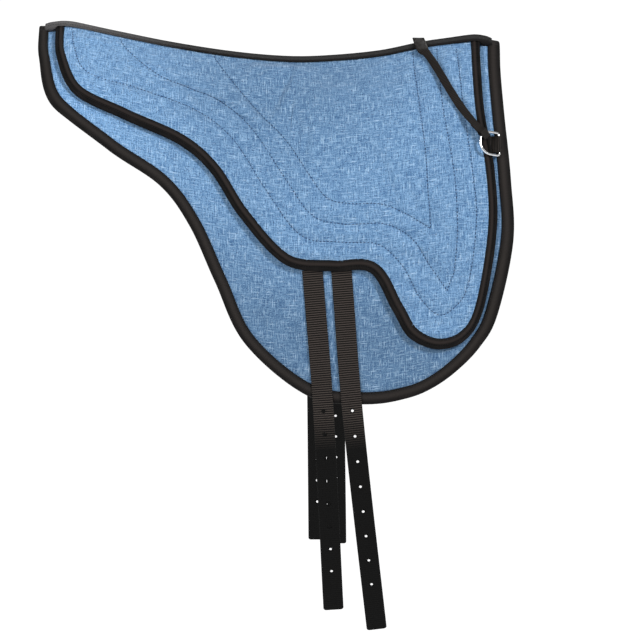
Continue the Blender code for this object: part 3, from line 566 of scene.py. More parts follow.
def swell(start, held):
    """Blender's Cloth over a draped grid: padding pushes it out between the seams that hold it.

    held is the share by which each corner is kept in place.
    """
    shape = bmesh.new()
    spots = gridded(shape, start.shape[0] - 1, start.shape[1] - 1)
    for corner in shape.verts:
        corner.co = start[spots[corner]]
    twins = bmesh.ops.find_doubles(shape, verts=shape.verts, dist=0.0002)["targetmap"]
    home = {spot: twins.get(corner, corner) for corner, spot in spots.items()}
    bmesh.ops.weld_verts(shape, targetmap=twins)
    shape.verts.index_update()
    home = {spot: corner.index for spot, corner in home.items()}
    piece = finish_mesh(shape, "swelling_cloth", BINDING, recalculate=False)
    pins = piece.vertex_groups.new(name="seams")
    for spot, index in home.items():
        pins.add([index], float(held[spot]), "REPLACE")
    cloth = piece.modifiers.new("cloth", "CLOTH")
    configure(cloth.settings, quality=6, mass=0.15, tension_stiffness=12,
              compression_stiffness=12, shear_stiffness=4, bending_stiffness=0.2,
              use_pressure=True, uniform_pressure_force=PADDING_PUSH, shrink_min=-SPARE_CLOTH,
              vertex_group_mass="seams")
    cloth.settings.effector_weights.gravity = 0
    configure(cloth.point_cache, frame_start=1, frame_end=SWELL_FRAMES)
    scene = bpy.context.scene
    for count in range(1, SWELL_FRAMES + 1):
        scene.frame_set(count)
    result = piece.evaluated_get(bpy.context.evaluated_depsgraph_get())
    moved = start.copy()
    for spot, index in home.items():
        moved[spot] = result.data.vertices[index].co
    bpy.data.objects.remove(piece)
    scene.frame_set(1)
    step = moved - start
    far = np.linalg.norm(step, axis=2, keepdims=True)
    return start + step * np.minimum(1, MOST_SWELL / np.maximum(far, 1e-9))


# Materials

def linear(code):
    """An sRGB hex colour as the linear colour that shaders use."""
    values = [int(code[start:start + 2], 16) / 255 for start in (0, 2, 4)]
    return (*(v / 12.92 if v <= 0.04045 else ((v + 0.055) / 1.055) ** 2.4 for v in values), 1.0)


def add(tree, kind, links=None, **settings):
    """Adds a node, with its settings, and its inputs' values or the outputs that feed them."""
    made = configure(tree.nodes.new("ShaderNode" + kind), **settings)
    for socket, value in (links or {}).items():
        if isinstance(value, bpy.types.NodeSocket):
            tree.links.new(value, made.inputs[socket])
        else:
            made.inputs[socket].default_value = value
    return made


def noise(tree, place, scale, detail, **sockets):
    return add(tree, "TexNoise", {"Vector": place, "Scale": scale, "Detail": detail,
                                  **sockets}).outputs[0]


def ranged(tree, value, low, high, start=0.0, end=1.0, **settings):
    """start where a value is at low, end where it is at high, and held beyond them."""
    return add(tree, "MapRange", {0: value, 1: low, 2: high, 3: start, 4: end},
               **settings).outputs[0]


def worked(tree, operation, first, second=0.0):
    return add(tree, "Math", {0: first, 1: second}, operation=operation).outputs[0]


def mixed(tree, share, first, second, blend="MIX"):
    """A colour with a share of a second one mixed in."""
    return add(tree, "Mix", {0: share, 6: first, 7: second}, data_type="RGBA",
               blend_type=blend).outputs[2]


def cloth_map(tree):
    return add(tree, "UVMap", uv_map="cloth").outputs[0]


def dress(tree, shader, colour, strength, distance, height):
    """The shader's colour, and the fine relief over it."""
    tree.links.new(colour, shader.inputs["Base Color"])
    bump = add(tree, "Bump", {"Strength": strength, "Distance": distance, "Height": height})
    tree.links.new(bump.outputs[0], shader.inputs["Normal"])


def new_finish(name, roughness, sheen=0.0, metallic=0.0, gloss=0.5):
    finish = bpy.data.materials.new(name)
    finish.use_nodes = True
    shader = finish.node_tree.nodes["Principled BSDF"]
    for socket, value in (("Roughness", roughness), ("Metallic", metallic),
                          ("Sheen Weight", sheen), ("Sheen Roughness", 0.5),
                          ("Specular IOR Level", gloss)):
        shader.inputs[socket].default_value = value
    return finish, finish.node_tree, shader


def woven_cotton(name, seat_painted_light):
    """Denim-look cotton in plain weave: uneven threads both ways, pale and navy flecks.

    The seat has painted shade in its dip near the ridge and painted light towards its rear. The
    skirt has painted light towards its rear and painted shade lower down.
    The real threads are about 0.5 mm apart. They are drawn 1.6 mm apart so that they show.
    """
    finish, tree, shader = new_finish(name, 0.9, sheen=0.12, gloss=0.25)
    cloth = cloth_map(tree)
    warp, weft = (noise(tree, add(tree, "Mapping", {0: cloth, 3: counts}).outputs[0], 1.0, 2.0,
                        Roughness=0.55) for counts in ((700, 64, 1), (58, 680, 1)))
    grain = noise(tree, cloth, 720.0, 1.0)
    weave = worked(tree, "ADD", worked(tree, "ADD", warp, weft), grain)
    blue = mixed(tree, ranged(tree, weave, 1.24, 1.78), linear("426B98"), linear("8CB4DA"))
    place = add(tree, "SeparateXYZ", {0: cloth})
    # Painted shade and painted light: the seat darker in its dip by the ridge and lighter towards
    # its rear, the skirt lighter towards its rear and darker lower down.
    if seat_painted_light:
        off = add(tree, "VectorMath", {0: cloth, 1: (0.03, 0.05, 0)}, operation="DISTANCE")
        painted_shade = ranged(tree, off.outputs[1], 0.20, 0.05, 1.0, 0.80)
        painted_light = ranged(tree, place.outputs[0], -0.10, -0.28, 1.0, 1.26)
    else:
        painted_shade = ranged(tree, place.outputs[1], 0.24, 0.42, 1.0, 0.62)
        painted_light = ranged(tree, place.outputs[0], -0.14, -0.31, 1.04, 1.42)
    painted_lit_blue = mixed(tree, 1.0, blue, worked(tree, "MULTIPLY", painted_shade, painted_light), "MULTIPLY")
    wear_and_highlight = ranged(tree, noise(tree, cloth, 22.0, 3.0), 0.35, 0.70, 0.0, 0.2)
    even = mixed(tree, wear_and_highlight, painted_lit_blue, linear("6F97BF"))
    slub = ranged(tree, worked(tree, "MAXIMUM", warp, weft), 0.60, 0.72, 0.0, 0.55)
    slubbed = mixed(tree, slub, even, linear("C2DAF0"))
    navy = ranged(tree, noise(tree, cloth, 430.0, 0.0), 0.36, 0.24, 0.0, 0.7)
    dress(tree, shader, mixed(tree, navy, slubbed, linear("28466F")), 0.4, 0.0006, weave)
    return finish


def ribbed_tape(name, dark, wear_and_highlight, pitch, depth, roughness, sheen, rib_highlight=0.0, plain=None,
                crown=None):
    """Woven polyester band: ribs at a real pitch, with a patchy painted highlight on their crests.

    The share given for every rib sets how pale its painted highlight is, plain is the stretch of
    band over which that painted highlight fades out, and crown gives how far across the band a
    painted highlight along its rounded middle lies, and how far that reaches either way.
    """
    finish, tree, shader = new_finish(name, roughness, sheen=sheen, gloss=0.12)
    cloth = cloth_map(tree)
    run = add(tree, "SeparateXYZ", {0: cloth})
    turns = 2 * pi / pitch / 20
    ribs = add(tree, "TexWave", {"Vector": cloth, "Scale": turns, "Distortion": 0.25,
                                 "Detail": 1.0, "Detail Scale": 2.0},
               bands_direction="X").outputs[1]
    # Pale rib crests are painted highlight, patchy like rub marks.
    rubs_and_highlight = ranged(tree, noise(tree, cloth, 38.0, 3.0), 0.40, 0.75, rib_highlight, max(rib_highlight, 0.7))
    crest = worked(tree, "MULTIPLY", rubs_and_highlight, ranged(tree, ribs, 0.40, 0.75))
    # Where a stretch is given, the painted highlight on the ribs fades out along it.
    if plain:
        crest = worked(tree, "MULTIPLY", crest, ranged(tree, run.outputs[0], *plain, 1.0, 0.02))
    # A painted highlight along the tape's rounded middle.
    if crown:
        middle, reach = crown
        off = worked(tree, "ABSOLUTE", worked(tree, "SUBTRACT", run.outputs[1], middle))
        painted_highlight = ranged(tree, off, reach, 0.0, 0.0, 0.9, interpolation_type="SMOOTHSTEP")
        crest = worked(tree, "MAXIMUM", crest, painted_highlight)
    height = worked(tree, "ADD", ribs, noise(tree, cloth, 900.0, 2.0))
    dress(tree, shader, mixed(tree, crest, linear(dark), linear(wear_and_highlight)), 0.5, depth, height)
    return finish


def brushed_felt(name, dark, pale):
    """Needled felt: matt, with short fibres lying every way."""
    finish, tree, shader = new_finish(name, 0.95, sheen=0.35)
    cloth = cloth_map(tree)
    pile = worked(tree, "ADD", noise(tree, cloth, 420.0, 4.0, Distortion=1.5),
                  noise(tree, cloth, 60.0, 3.0))
    grey = mixed(tree, ranged(tree, pile, 0.75, 1.30), linear(dark), linear(pale))
    dress(tree, shader, grey, 0.5, 0.0008, pile)
    return finish


def spun_thread(name, colour):
    """Bonded polyester sewing thread: a slight sheen along a fine twist."""
    finish, tree, shader = new_finish(name, 0.6, sheen=0.1, gloss=0.2)
    twist = noise(tree, add(tree, "TexCoord").outputs["Object"], 1500.0, 1.0)
    shade = mixed(tree, 1.0, linear(colour), ranged(tree, twist, 0.3, 0.7, 0.7, 1.2), "MULTIPLY")
    tree.links.new(shade, shader.inputs["Base Color"])
    return finish


def chrome_plate(name):
    """Chrome on steel wire: mirror bright, with the faint hairlines of handling."""
    finish, tree, shader = new_finish(name, 0.09, metallic=1.0)
    place = add(tree, "TexCoord").outputs["Object"]
    hair = noise(tree, add(tree, "Mapping", {0: place, 3: (900, 900, 90)}).outputs[0], 1.0, 3.0)
    tree.links.new(ranged(tree, hair, 0.35, 0.75, 0.06, 0.20), shader.inputs["Roughness"])
    plate = mixed(tree, ranged(tree, hair, 0.2, 0.8), linear("D9DBDE"), linear("EDEEF0"))
    dress(tree, shader, plate, 0.05, 0.0002, hair)
    return finish


# The skirt's cloth and the seat's cloth each carry their own painted light and shade.
DENIM = woven_cotton("denim_look_cotton", False)
SEAT_DENIM = woven_cotton("quilted_denim_look_cotton", True)
# Each tape's paler colour is a painted highlight on its rib crests and, where given, along its
# rounded middle; it lights the spine tape towards its rear and the billets over their upper
# stretch.
BINDING = ribbed_tape("black_binding_tape", "0C0A0A", "2E2A28", 0.0022, 0.0004, 0.7, 0.03,
                      crown=(0.0085, 0.0085))
SEAT_BINDING = ribbed_tape("black_seat_tape", "080707", "2C2624", 0.0022, 0.0004, 0.7, 0.03,
                           crown=(0.0072, 0.0052))
SPINE_BLACK = ribbed_tape("black_spine_tape", "100F0F", "8A8889", 0.0012, 0.0003, 0.75, 0.05,
                          rib_highlight=0.75, plain=(-0.31, -0.13))
WEBBING = ribbed_tape("black_ribbed_webbing", "030303", "463F3B", 0.0033, 0.0007, 0.6, 0.0,
                      rib_highlight=0.95, plain=(0.215, 0.265))
HANDLE_WEBBING = ribbed_tape("black_handle_webbing", "0E0C0B", "3E3834", 0.0026, 0.0005, 0.6, 0.02,
                             rib_highlight=0.4)
FELT = brushed_felt("dark_grey_felt", "26292D", "3B3F44")
QUILTING_THREAD = spun_thread("navy_quilting_thread", "243D62")
BLACK_THREAD = spun_thread("black_binding_thread", "1C1B1C")
CHROME = chrome_plate("polished_chrome_plate")


# Moving with the frame

def stands_for(piece, slot, *nodes):
    """Hides the nodes that a piece takes the place of, if any; its slot is not used."""
    if nodes:
        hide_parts(*nodes)


def on_body(piece, body, slot, *nodes):
    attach(piece, body)
    stands_for(piece, slot, *nodes)


def on_half(piece, word, slot, *nodes):
    """Bakes a piece's place into its mesh and hides the nodes that it takes the place of."""
    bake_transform(piece)
    stands_for(piece, slot, *nodes)


# Skirt

def skirt_form():
    """The skirt's flat grid, and how far its padding lifts each place on it."""
    rows_outside = 16
    bands = [(BASE_EDGE, SEAT_EDGE, rows_outside), (SEAT_EDGE, OUTER_QUILT, 3),
             (OUTER_QUILT, INNER_QUILT, 2), (INNER_QUILT, CORE, 4)]
    grid = band_grid(bands, SKIRT_STEPS, SKIRT_HEMS)
    reach, along = from_seams(grid, (BASE_EDGE, BASE_BINDING_WIDTH - 0.002),
                              (SEAT_EDGE, -BINDING_OUTSIDE))
    puff = SKIRT_PUFF * (1 - np.exp(-reach / SKIRT_PUFF_REACH))
    puff += ripples(grid, [(0.00035, 0.061, 0.6, 0.3), (0.0003, 0.043, 2.1, 1.1),
                           (0.0002, 0.027, 1.3, 2.0)]) * smooth(reach / 0.02)
    puff += 0.00022 * np.exp(-reach / 0.006) * thread_pull(along, 0.0085, 1.7, 0.031)
    puff[:, :3] = 0
    puff[:, len(SKIRT_HEMS) + rows_outside - 1:] = 0
    return grid, puff


def skirt(word, side, grid, puff):
    """The base panel: thin padded denim outside and felt inside."""
    cover = cloth_shell("skirt_denim_" + word, drape(grid, COVER_TOP - 0.0012 + puff, side),
                        drape(grid, LINING_TOP + CLEARANCE, side), grid, DENIM)
    on_half(cover, word, "denim", "base_cover_" + word, "base_foam_" + word)
    waves = ripples(grid, [(0.0003, 0.075, 1.0, 0.4), (0.00025, 0.052, 2.6, 1.9)])
    lining = cloth_shell("skirt_felt_" + word, drape(grid, LINING_TOP, side),
                         drape(grid, np.abs(waves) * 0.4, side), grid, FELT)
    on_half(lining, word, "lining", "base_lining_" + word)


def binding_profile(width, top, low, full):
    """Corners round an edge tape, as (into the cloth, height), from its inner edge.

    A full tape folds round to the lining, and the other one only down to the cover.
    """
    crown = 0.0004 if full else 0.0009
    middle, half = (top + low) / 2, (top - low) / 2
    points = [(width, top - 0.0012), (width - 0.0004, top - 0.0004), (width - 0.0012, top),
              (width - STITCH_INSET, top - 0.0004), (width - 0.0030, top + crown * 0.5),
              (width * 0.62, top + crown)]
    if not full:
        points += [(0.0078, top + crown), (0.0062, top + crown * 0.5), (0.0054, top - 0.0005),
                   (GROOVE_INSET, top - 0.0016), (0.0039, top - 0.0007), (0.0032, top - 0.0001)]
    points += arc((0.0020, middle), (-BINDING_OUTSIDE - 0.0020, half), pi / 2, -pi / 2, 11)
    if full:
        points += [(width * 0.5, low - crown * 0.5), (width - STITCH_INSET, low + 0.0004),
                   (width - 0.0008, low), (width, low + 0.0009), (width, low + 0.0012),
                   (width * 0.5, low + 0.0013), (width * 0.5, top - 0.0013)]
    else:
        points += [(0.0040, low), (0.0040, top - 0.0016)]
    return np.array(points)


def tape_share(places, line):
    """How wide an edge tape lies: it is pulled narrower up the rear, and up the seat's front."""
    rear = 0.20 * (1 - smooth((places - 0.6) / 1.6))
    front = 0.18 * smooth((places - 12.5) / 1.5)
    return 1 - rear - (front if line == SEAT_EDGE else 0)


def binding(name, side, line, width, top, low, spare, finish):
    """An edge tape along a pattern line, that stops a spare of a station from either end."""
    places = np.linspace(spare, LAST_STATION - spare, BINDING_SECTIONS)
    edge, into = pattern_line(line, places), inwards(places, line)
    profile = binding_profile(width, top, low, line == BASE_EDGE)
    across = tape_share(places, line)[:, None] * profile[None, :, 0]
    flats = close_ridge(edge[:, None, :] + into[:, None, :] * across[..., None])
    lengths = distances(edge)
    pull = 0.00018 * thread_pull(lengths, 0.0068, 1.3, 0.027)
    heights = profile[None, :, 1] + pull[:, None] * (profile[None, :, 1] > (top + low) / 2)
    around = distances(np.append(profile, profile[:1], axis=0))
    return loft(name, drape(flats, heights, side), finish, flat_map(lengths, around))


def seam_path(line, into, height, side):
    """A row of stitches along an edge tape."""
    places = np.linspace(0, LAST_STATION, BINDING_STITCH_POINTS)
    points = beside(line, places, into * tape_share(places, line)[:, None])
    return drape(points, height, side)


def bindings(word, side):
    rows = []
    for name, node, line, width, top, low, spare, finish in (
            ("skirt_binding_", "base_binding_", BASE_EDGE, BASE_BINDING_WIDTH,
             BASE_BINDING_TOP, BASE_BINDING_LOW, 0.0, BINDING),
            ("seat_binding_tape_", "seat_binding_", SEAT_EDGE, SEAT_BINDING_WIDTH,
             SEAT_BINDING_TOP, SEAT_BINDING_LOW, 0.06, SEAT_BINDING)):
        tape = binding(name + word, side, line, width, top, low, spare, finish)
        on_half(tape, word, "binding", node + word)
        rows.append(seam_path(line, width - STITCH_INSET, top, side))
    rows.append(seam_path(SEAT_EDGE, GROOVE_INSET, SEAT_BINDING_TOP - 0.0013, side))
    on_half(stitching("binding_stitches_" + word, rows, BLACK_THREAD), word, "binding")


# Seat

def seat_height(grid):
    """Height of the quilted seat over each flat place: puffed between its stitched channels."""
    reach, along = from_seams(grid, *QUILTING_SEAMS, (SEAT_EDGE, SEAT_BINDING_WIDTH - 0.001))
    puff = (SEAT_PUFF * (1 - np.exp(-reach / SEAT_PUFF_REACH))
            + SEAT_LOFT * smooth((reach - SEAT_PUFF_REACH) / SEAT_LOFT_REACH))
    sag = ripples(grid, [(0.0004, 0.083, 0.9, 0.2), (0.0003, 0.057, 2.4, 1.7),
                         (0.0002, 0.034, 1.6, 0.9), (0.00015, 0.021, 0.3, 2.6)])
    puckers = np.exp(-reach / 0.0045) * thread_pull(along, 0.0074, 2.0, 0.037)
    height = CHANNEL_TOP + puff + sag * smooth(reach / 0.015) + 0.0002 * puckers
    clear = smooth((grid[..., 1] - TAPE_HALF + 0.001) / 0.020)
    height = SEAT_EDGE_TOP + (height - SEAT_EDGE_TOP) * clear
    hem, _ = from_seams(grid, (SEAT_EDGE, 0.0))
    bound = smooth((SEAT_BINDING_WIDTH - 0.0028 - hem) / 0.0016)
    return height + (SEAT_EDGE_TOP - 0.0010 - height) * bound


def seat_face():
    """The seat's flat grid and the left seat's outer face, swollen between its seams."""
    bands = [(SEAT_EDGE, OUTER_QUILT, 14), (OUTER_QUILT, MIDDLE_QUILT, 12),
             (MIDDLE_QUILT, INNER_QUILT, 12), (INNER_QUILT, CORE, 20)]
    grid = band_grid(bands, SEAT_STEPS, SEAT_HEMS)
    reach, _ = from_seams(grid, *QUILTING_SEAMS)
    hem, _ = from_seams(grid, (SEAT_EDGE, 0.0))
    held = np.maximum(smooth((0.0016 - reach) / 0.0010),
                      smooth((SEAT_BINDING_WIDTH + 0.0006 - hem) / 0.0010))
    held = np.maximum(held, smooth((TAPE_HALF + 0.004 - grid[..., 1]) / 0.003))
    return grid, swell(drape(grid, seat_height(grid), 1), held)


def seat(word, side, grid, left_face):
    quilt = cloth_shell("quilted_seat_" + word, left_face * (1, side, 1),
                        drape(grid, SEAT_LOW, side), grid, SEAT_DENIM)
    on_half(quilt, word, "quilted_denim", "seat_quilt_" + word, "seat_foam_" + word)
    rows = []
    for line in QUILTING:
        places = np.linspace(0.25, LAST_STATION - 0.2, QUILTING_STITCH_POINTS)
        points = beside(line, places, 0.0)
        height = seat_height(points[:, None, :])[:, 0]
        rows.append(drape(points, height + 0.0005, side))
    sewn = stitching("quilting_stitches_" + word, rows, QUILTING_THREAD, 0.0034, 0.0054, 0.0013)
    on_half(sewn, word, "quilted_denim")


# Ridge

def ridge_band(name, half, thick, low_at, top_at, rear, front, finish, lift=0.0):
    """A band along the ridge, laid over both halves, between two heights along it."""
    xs = np.linspace(rear, front, RIDGE_SECTIONS)
    across = np.linspace(-1, 1, RIDGE_ROWS)
    ups, downs = [], []
    for share in across:
        side = -1 if share < 0 else 1
        places = np.stack([xs, np.full(len(xs), abs(share) * half)], axis=-1)
        edge = smooth((abs(share) - 0.86) / 0.14)
        edge_lift = lift * share * share
        downs.append(drape(places, low_at(xs) + edge_lift, side))
        ups.append(drape(places, top_at(xs) + edge_lift + thick * (1 - 0.55 * edge), side))
    return cloth_shell(name, np.stack(ups, axis=1), np.stack(downs, axis=1),
                       flat_map(xs, across * half), finish)


def ridge_pieces():
    seat_rear, seat_front = (pattern_line(SEAT_EDGE, place)[0] for place in (0.0, LAST_STATION))
    rear = pattern_line(BASE_EDGE, 0.0)[0] + BASE_BINDING_WIDTH - 0.0085
    front = pattern_line(BASE_EDGE, LAST_STATION)[0] - BASE_BINDING_WIDTH + 0.0065
    sink = TAPE_LIP - CHANNEL_TOP

    def over(xs):
        """The tape's lower face: it steps up onto the seat and sinks into its padding."""
        inside = np.minimum(xs - seat_rear, seat_front - xs)
        climb = smooth((inside + 0.003) / 0.003)
        settle = smooth((inside - 0.010) / 0.016)
        return TAPE_END_LOW + (TAPE_LIP - TAPE_END_LOW) * climb - sink * settle

    def stretched(xs):
        """Its upper face, stretched over that step."""
        inside = np.minimum(xs - seat_rear, seat_front - xs)
        climb = smooth((inside + 0.034) / 0.044) ** 0.8
        settle = smooth((inside - 0.004) / 0.050)
        ends = 1 - smooth((np.minimum(xs - rear, front - xs) - 0.0005) / 0.006)
        return TAPE_END_TOP - 0.0012 * ends + (TAPE_LIP - TAPE_END_TOP) * climb - sink * settle

    def inner_face(xs):
        return np.full(len(xs), GULLET_LOW)

    tape = ridge_band("ridge_tape", TAPE_HALF, TAPE_THICK, over, stretched, rear, front,
                      SPINE_BLACK, TAPE_EDGE_LIFT)
    on_body(tape, "spine", "binding", "spine_tape")
    xs = np.linspace(rear + 0.004, front - 0.004, RIDGE_STITCH_POINTS)
    places = np.stack([xs, np.full(len(xs), TAPE_HALF - 0.0022)], axis=-1)
    rows = [drape(places, stretched(xs) + 0.0020, side) for side in (-1, 1)]
    on_body(stitching("ridge_tape_stitches", rows, BLACK_THREAD), "spine", "binding")
    strip = ridge_band("gullet_strip", GULLET_HALF, GULLET_THICK, inner_face, inner_face,
                       rear + 0.009, front - 0.007, FELT)
    on_body(strip, "spine", "lining", "spine_lining")


# Billets

def strap_x(name, drop):
    """Where a billet's middle lies along the pad; a front billet hangs clear of the rear one."""
    middles = (np.array(BILLET_SHARES[name]) - 0.5) * PAD_LENGTH
    if name.startswith("front"):
        behind = (np.array(BILLET_SHARES[name.replace("front", "rear")]) - 0.5) * PAD_LENGTH
        middles = np.maximum(middles, behind + WEBBING_WIDTH + BILLET_GAP)
    if drop < SEAT_EDGE_DROP:
        lean = (middles[1] - middles[0]) / (HEM_DROP - SEAT_EDGE_DROP)
        return middles[0] - lean * (SEAT_EDGE_DROP - drop)
    places = (SEAT_EDGE_DROP, HEM_DROP, HEM_DROP + BILLET_FALLS[name])
    return float(value_at(list(zip(places, middles)), drop))


def billet_path(name, side):
    """Middles from under the seat's binding to the tip, and the way across."""
    start = SEAT_EDGE_DROP - 0.006
    rest = WEB_LOW + WEBBING_THICK / 2
    clear = BASE_BINDING_TOP + OVER_BINDING + WEBBING_THICK / 2
    middles = []
    for share in np.linspace(0, 1, 9):
        drop = start + (HEM_DROP - start) * share
        place, across, _, _ = drape_frame(strap_x(name, drop), drop,
                                          rest + (clear - rest) * share, side)
        middles.append(place)
    fall, steps = BILLET_FALLS[name], 12
    for index in range(1, steps + 1):
        share = index / steps
        slope = FLAP_SLOPE + (BILLET_CURL - FLAP_SLOPE) * share
        place = middles[-1] + Vector((0, side * sin(slope), -cos(slope))) * fall / steps
        place.x = strap_x(name, HEM_DROP + fall * share)
        middles.append(place)
    middles = even_path(middles, WEBBING_SPACING)
    tip = [middles[-2] + (middles[-1] - middles[-2]) * share for share in (0.4, 0.7, 0.9, 0.98)]
    return np.concatenate([middles[:-1], tip, middles[-1:]]), across


def melted_rim(shape, where):
    """The low ring of melted yarn that a hot punch leaves round a hole."""
    others = set(shape.verts)
    verts = bmesh.ops.create_circle(shape, cap_ends=False, segments=8, radius=RIM_RADIUS)["verts"]
    bmesh.ops.rotate(shape, verts=verts, matrix=Matrix.Rotation(pi / 2, 3, "X"))
    bmesh.ops.translate(shape, verts=verts, vec=(HOLE_DIAMETER / 2 + 0.0001, 0, 0))
    edges = list({edge for vert in verts for edge in vert.link_edges})
    bmesh.ops.spin(shape, geom=verts + edges, cent=(0, 0, 0), axis=(0, 0, 1), angle=2 * pi,
                   steps=16, use_merge=True)
    made = [vert for vert in shape.verts if vert not in others]
    bmesh.ops.transform(shape, matrix=where, verts=made)


def billet(word, end, side):
    """A billet with its punched holes and their rims, and the web that carries it."""
    name = end + "_" + word
    middles, across = billet_path(name, side)
    lengths = distances(middles)
    tip = lengths[-1]
    turned = np.arange(len(middles))[:, None] / len(middles)
    acrosses = np.array(across) * (1, 1, 0) + (0, 0, 1) * (across.z * (1 - turned) + turned * 0.02)
    corner = np.clip(1 - (tip - lengths) / TIP_CORNER, 0, 1)
    widths = 1 - 2 * TIP_CORNER / WEBBING_WIDTH * (1 - np.sqrt(1 - corner ** 2))
    piece = strap("billet_webbing_" + name, middles, acrosses, WEBBING_WIDTH, WEBBING_THICK,
                  WEBBING, widths)
    punched_length = BILLET_FALLS[name] - HEM_TO_HOLE - HOLE_TO_TIP[end]
    rims, cutters = bmesh.new(), bmesh.new()
    for count in range(HOLE_COUNT):
        wanted = tip - (HOLE_TO_TIP[end] + punched_length * count / (HOLE_COUNT - 1))
        place, ahead = (Vector(along_run(at, lengths, middles)) for at in (wanted, wanted + 0.004))
        run = (ahead - place).normalized()
        out = across.cross(run).normalized()
        turn = Matrix((across.normalized(), run, out)).transposed().to_4x4()
        where = Matrix.Translation(place) @ turn
        bmesh.ops.create_cone(cutters, cap_ends=True, segments=20, radius1=HOLE_DIAMETER / 2,
                              radius2=HOLE_DIAMETER / 2, depth=PUNCH_LENGTH, matrix=where)
        for level in (-1, 1):
            melted_rim(rims, where @ Matrix.Translation((0, 0, level * WEBBING_THICK / 2)))
    cutter = finish_mesh(cutters, "punch_" + name, WEBBING)
    configure(piece.modifiers.new("punch", "BOOLEAN"), operation="DIFFERENCE", solver="EXACT",
              object=cutter)
    punched = baked(piece)
    piece.modifiers.clear()
    piece.data = punched
    bpy.data.objects.remove(cutter)
    body = "billet_" + name + "_body"
    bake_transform(piece)
    stands_for(piece, "webbing", "billet_" + name)
    on_body(finish_mesh(rims, "hole_rims_" + name, WEBBING), body, "webbing")

    under = SEAT_EDGE_DROP - 0.007
    spots = [drape_frame(strap_x(name, drop), drop, WEB_LOW + WEBBING_THICK / 2, side)
             for drop in np.linspace(under, under - WEB_SEWN_LENGTH, 30)]
    web = strap("sewn_web_" + name, [spot[0] for spot in spots], [spot[1] for spot in spots],
                WEBBING_WIDTH, WEB_THICK, WEBBING)
    on_body(web, "half_" + word, "webbing", "web_" + name)


# D-rings, tabs and handle

def ring_frame(side):
    """Middle of the ring's straight bar, and the ways to its crown, down the bar and outwards."""
    height = BASE_BINDING_TOP + OVER_BINDING + WIRE_RADIUS + RING_PLAY + TAB_THICK
    place, forward, downslope, outward = drape_frame(*flat(RING_SHARES), height, side)
    bar = place + forward * RING_STRAIGHT
    crown = -forward * cos(RING_TILT) + outward * sin(RING_TILT)
    out = forward * sin(RING_TILT) + outward * cos(RING_TILT)
    return bar, crown, downslope, out


def ring_outline():
    """The middle line of the wire round the D: (away from the bar, along the bar)."""
    quarter, reach = pi / 2, RING_HALF_WIDTH - RING_CORNER
    return (arc((RING_CORNER, -reach), (-RING_CORNER, -RING_CORNER), quarter, 0, 9)
            + arc((RING_CORNER, reach), (-RING_CORNER, RING_CORNER), 0, quarter, 9)
            + arc((RING_STRAIGHT, 0), (RING_HALF_WIDTH, RING_HALF_WIDTH), quarter, -quarter, 41))


def d_ring(word, side):
    """The chrome ring: round wire bent to a D, in the plane that its tab holds."""
    bar, crown, down, out = ring_frame(side)
    outline = ring_outline()
    turns = np.linspace(0, 2 * pi, 20, endpoint=False)
    sections = []
    for index, (rise, along) in enumerate(outline):
        before, after = outline[index - 1], outline[(index + 1) % len(outline)]
        run = (crown * (after[0] - before[0]) + down * (after[1] - before[1])).normalized()
        sideways = run.cross(out)
        middle = bar + crown * rise + down * along
        sections.append([middle + (sideways * cos(turn) + out * sin(turn)) * WIRE_RADIUS
                         for turn in turns])
    sections = np.array(sections)
    middles = sections.mean(axis=1)
    flats = flat_map(distances(np.append(middles, middles[:1], axis=0)),
                     np.append(turns, 2 * pi) * WIRE_RADIUS)
    ring = loft("chrome_ring_" + word, sections, CHROME, flats, ring=True)
    on_body(ring, "d_ring_" + word + "_body", "chrome", "d_ring_" + word)


def ring_tab(word, side):
    """The folded tab that holds the ring's bar, sewn under the seat's front edge."""
    bar = ring_frame(side)[0]
    x, drop = flat(RING_SHARES)
    place, forward, downslope, outward = drape_frame(x, drop, 0.0, side)
    front_edge = pattern_line(SEAT_EDGE, np.linspace(14.5, LAST_STATION, 200))[::-1]
    seat_front = float(np.interp(drop, front_edge[:, 1], front_edge[:, 0])) - x
    under, edge = seat_front - TAB_SEWN_LENGTH, seat_front + BINDING_OUTSIDE
    bar_along, bar_height = (bar - place).dot(forward), (bar - place).dot(outward)
    low = COVER_TOP + 0.00045 + TAB_THICK / 2
    high = low + TAB_THICK + CLEARANCE
    turn_radius = WIRE_RADIUS + RING_PLAY + TAB_THICK / 2
    points = [(under, low), (edge, low), (bar_along * 0.65, bar_height - turn_radius)]
    points += arc((bar_along, bar_height), (turn_radius, turn_radius), -pi / 2, pi * 2 / 3, 15)
    points += [(edge + TAB_THICK * 2, high + TAB_THICK / 2), (edge, high), (under, high)]
    middles = even_path([place + forward * along + outward * height for along, height in points],
                        TAB_SPACING)
    piece = strap("ring_tab_webbing_" + word, middles, [downslope * side] * len(middles),
                  TAB_WIDTH, TAB_THICK, HANDLE_WEBBING)
    on_body(piece, "half_" + word, "webbing", "ring_tab_" + word)


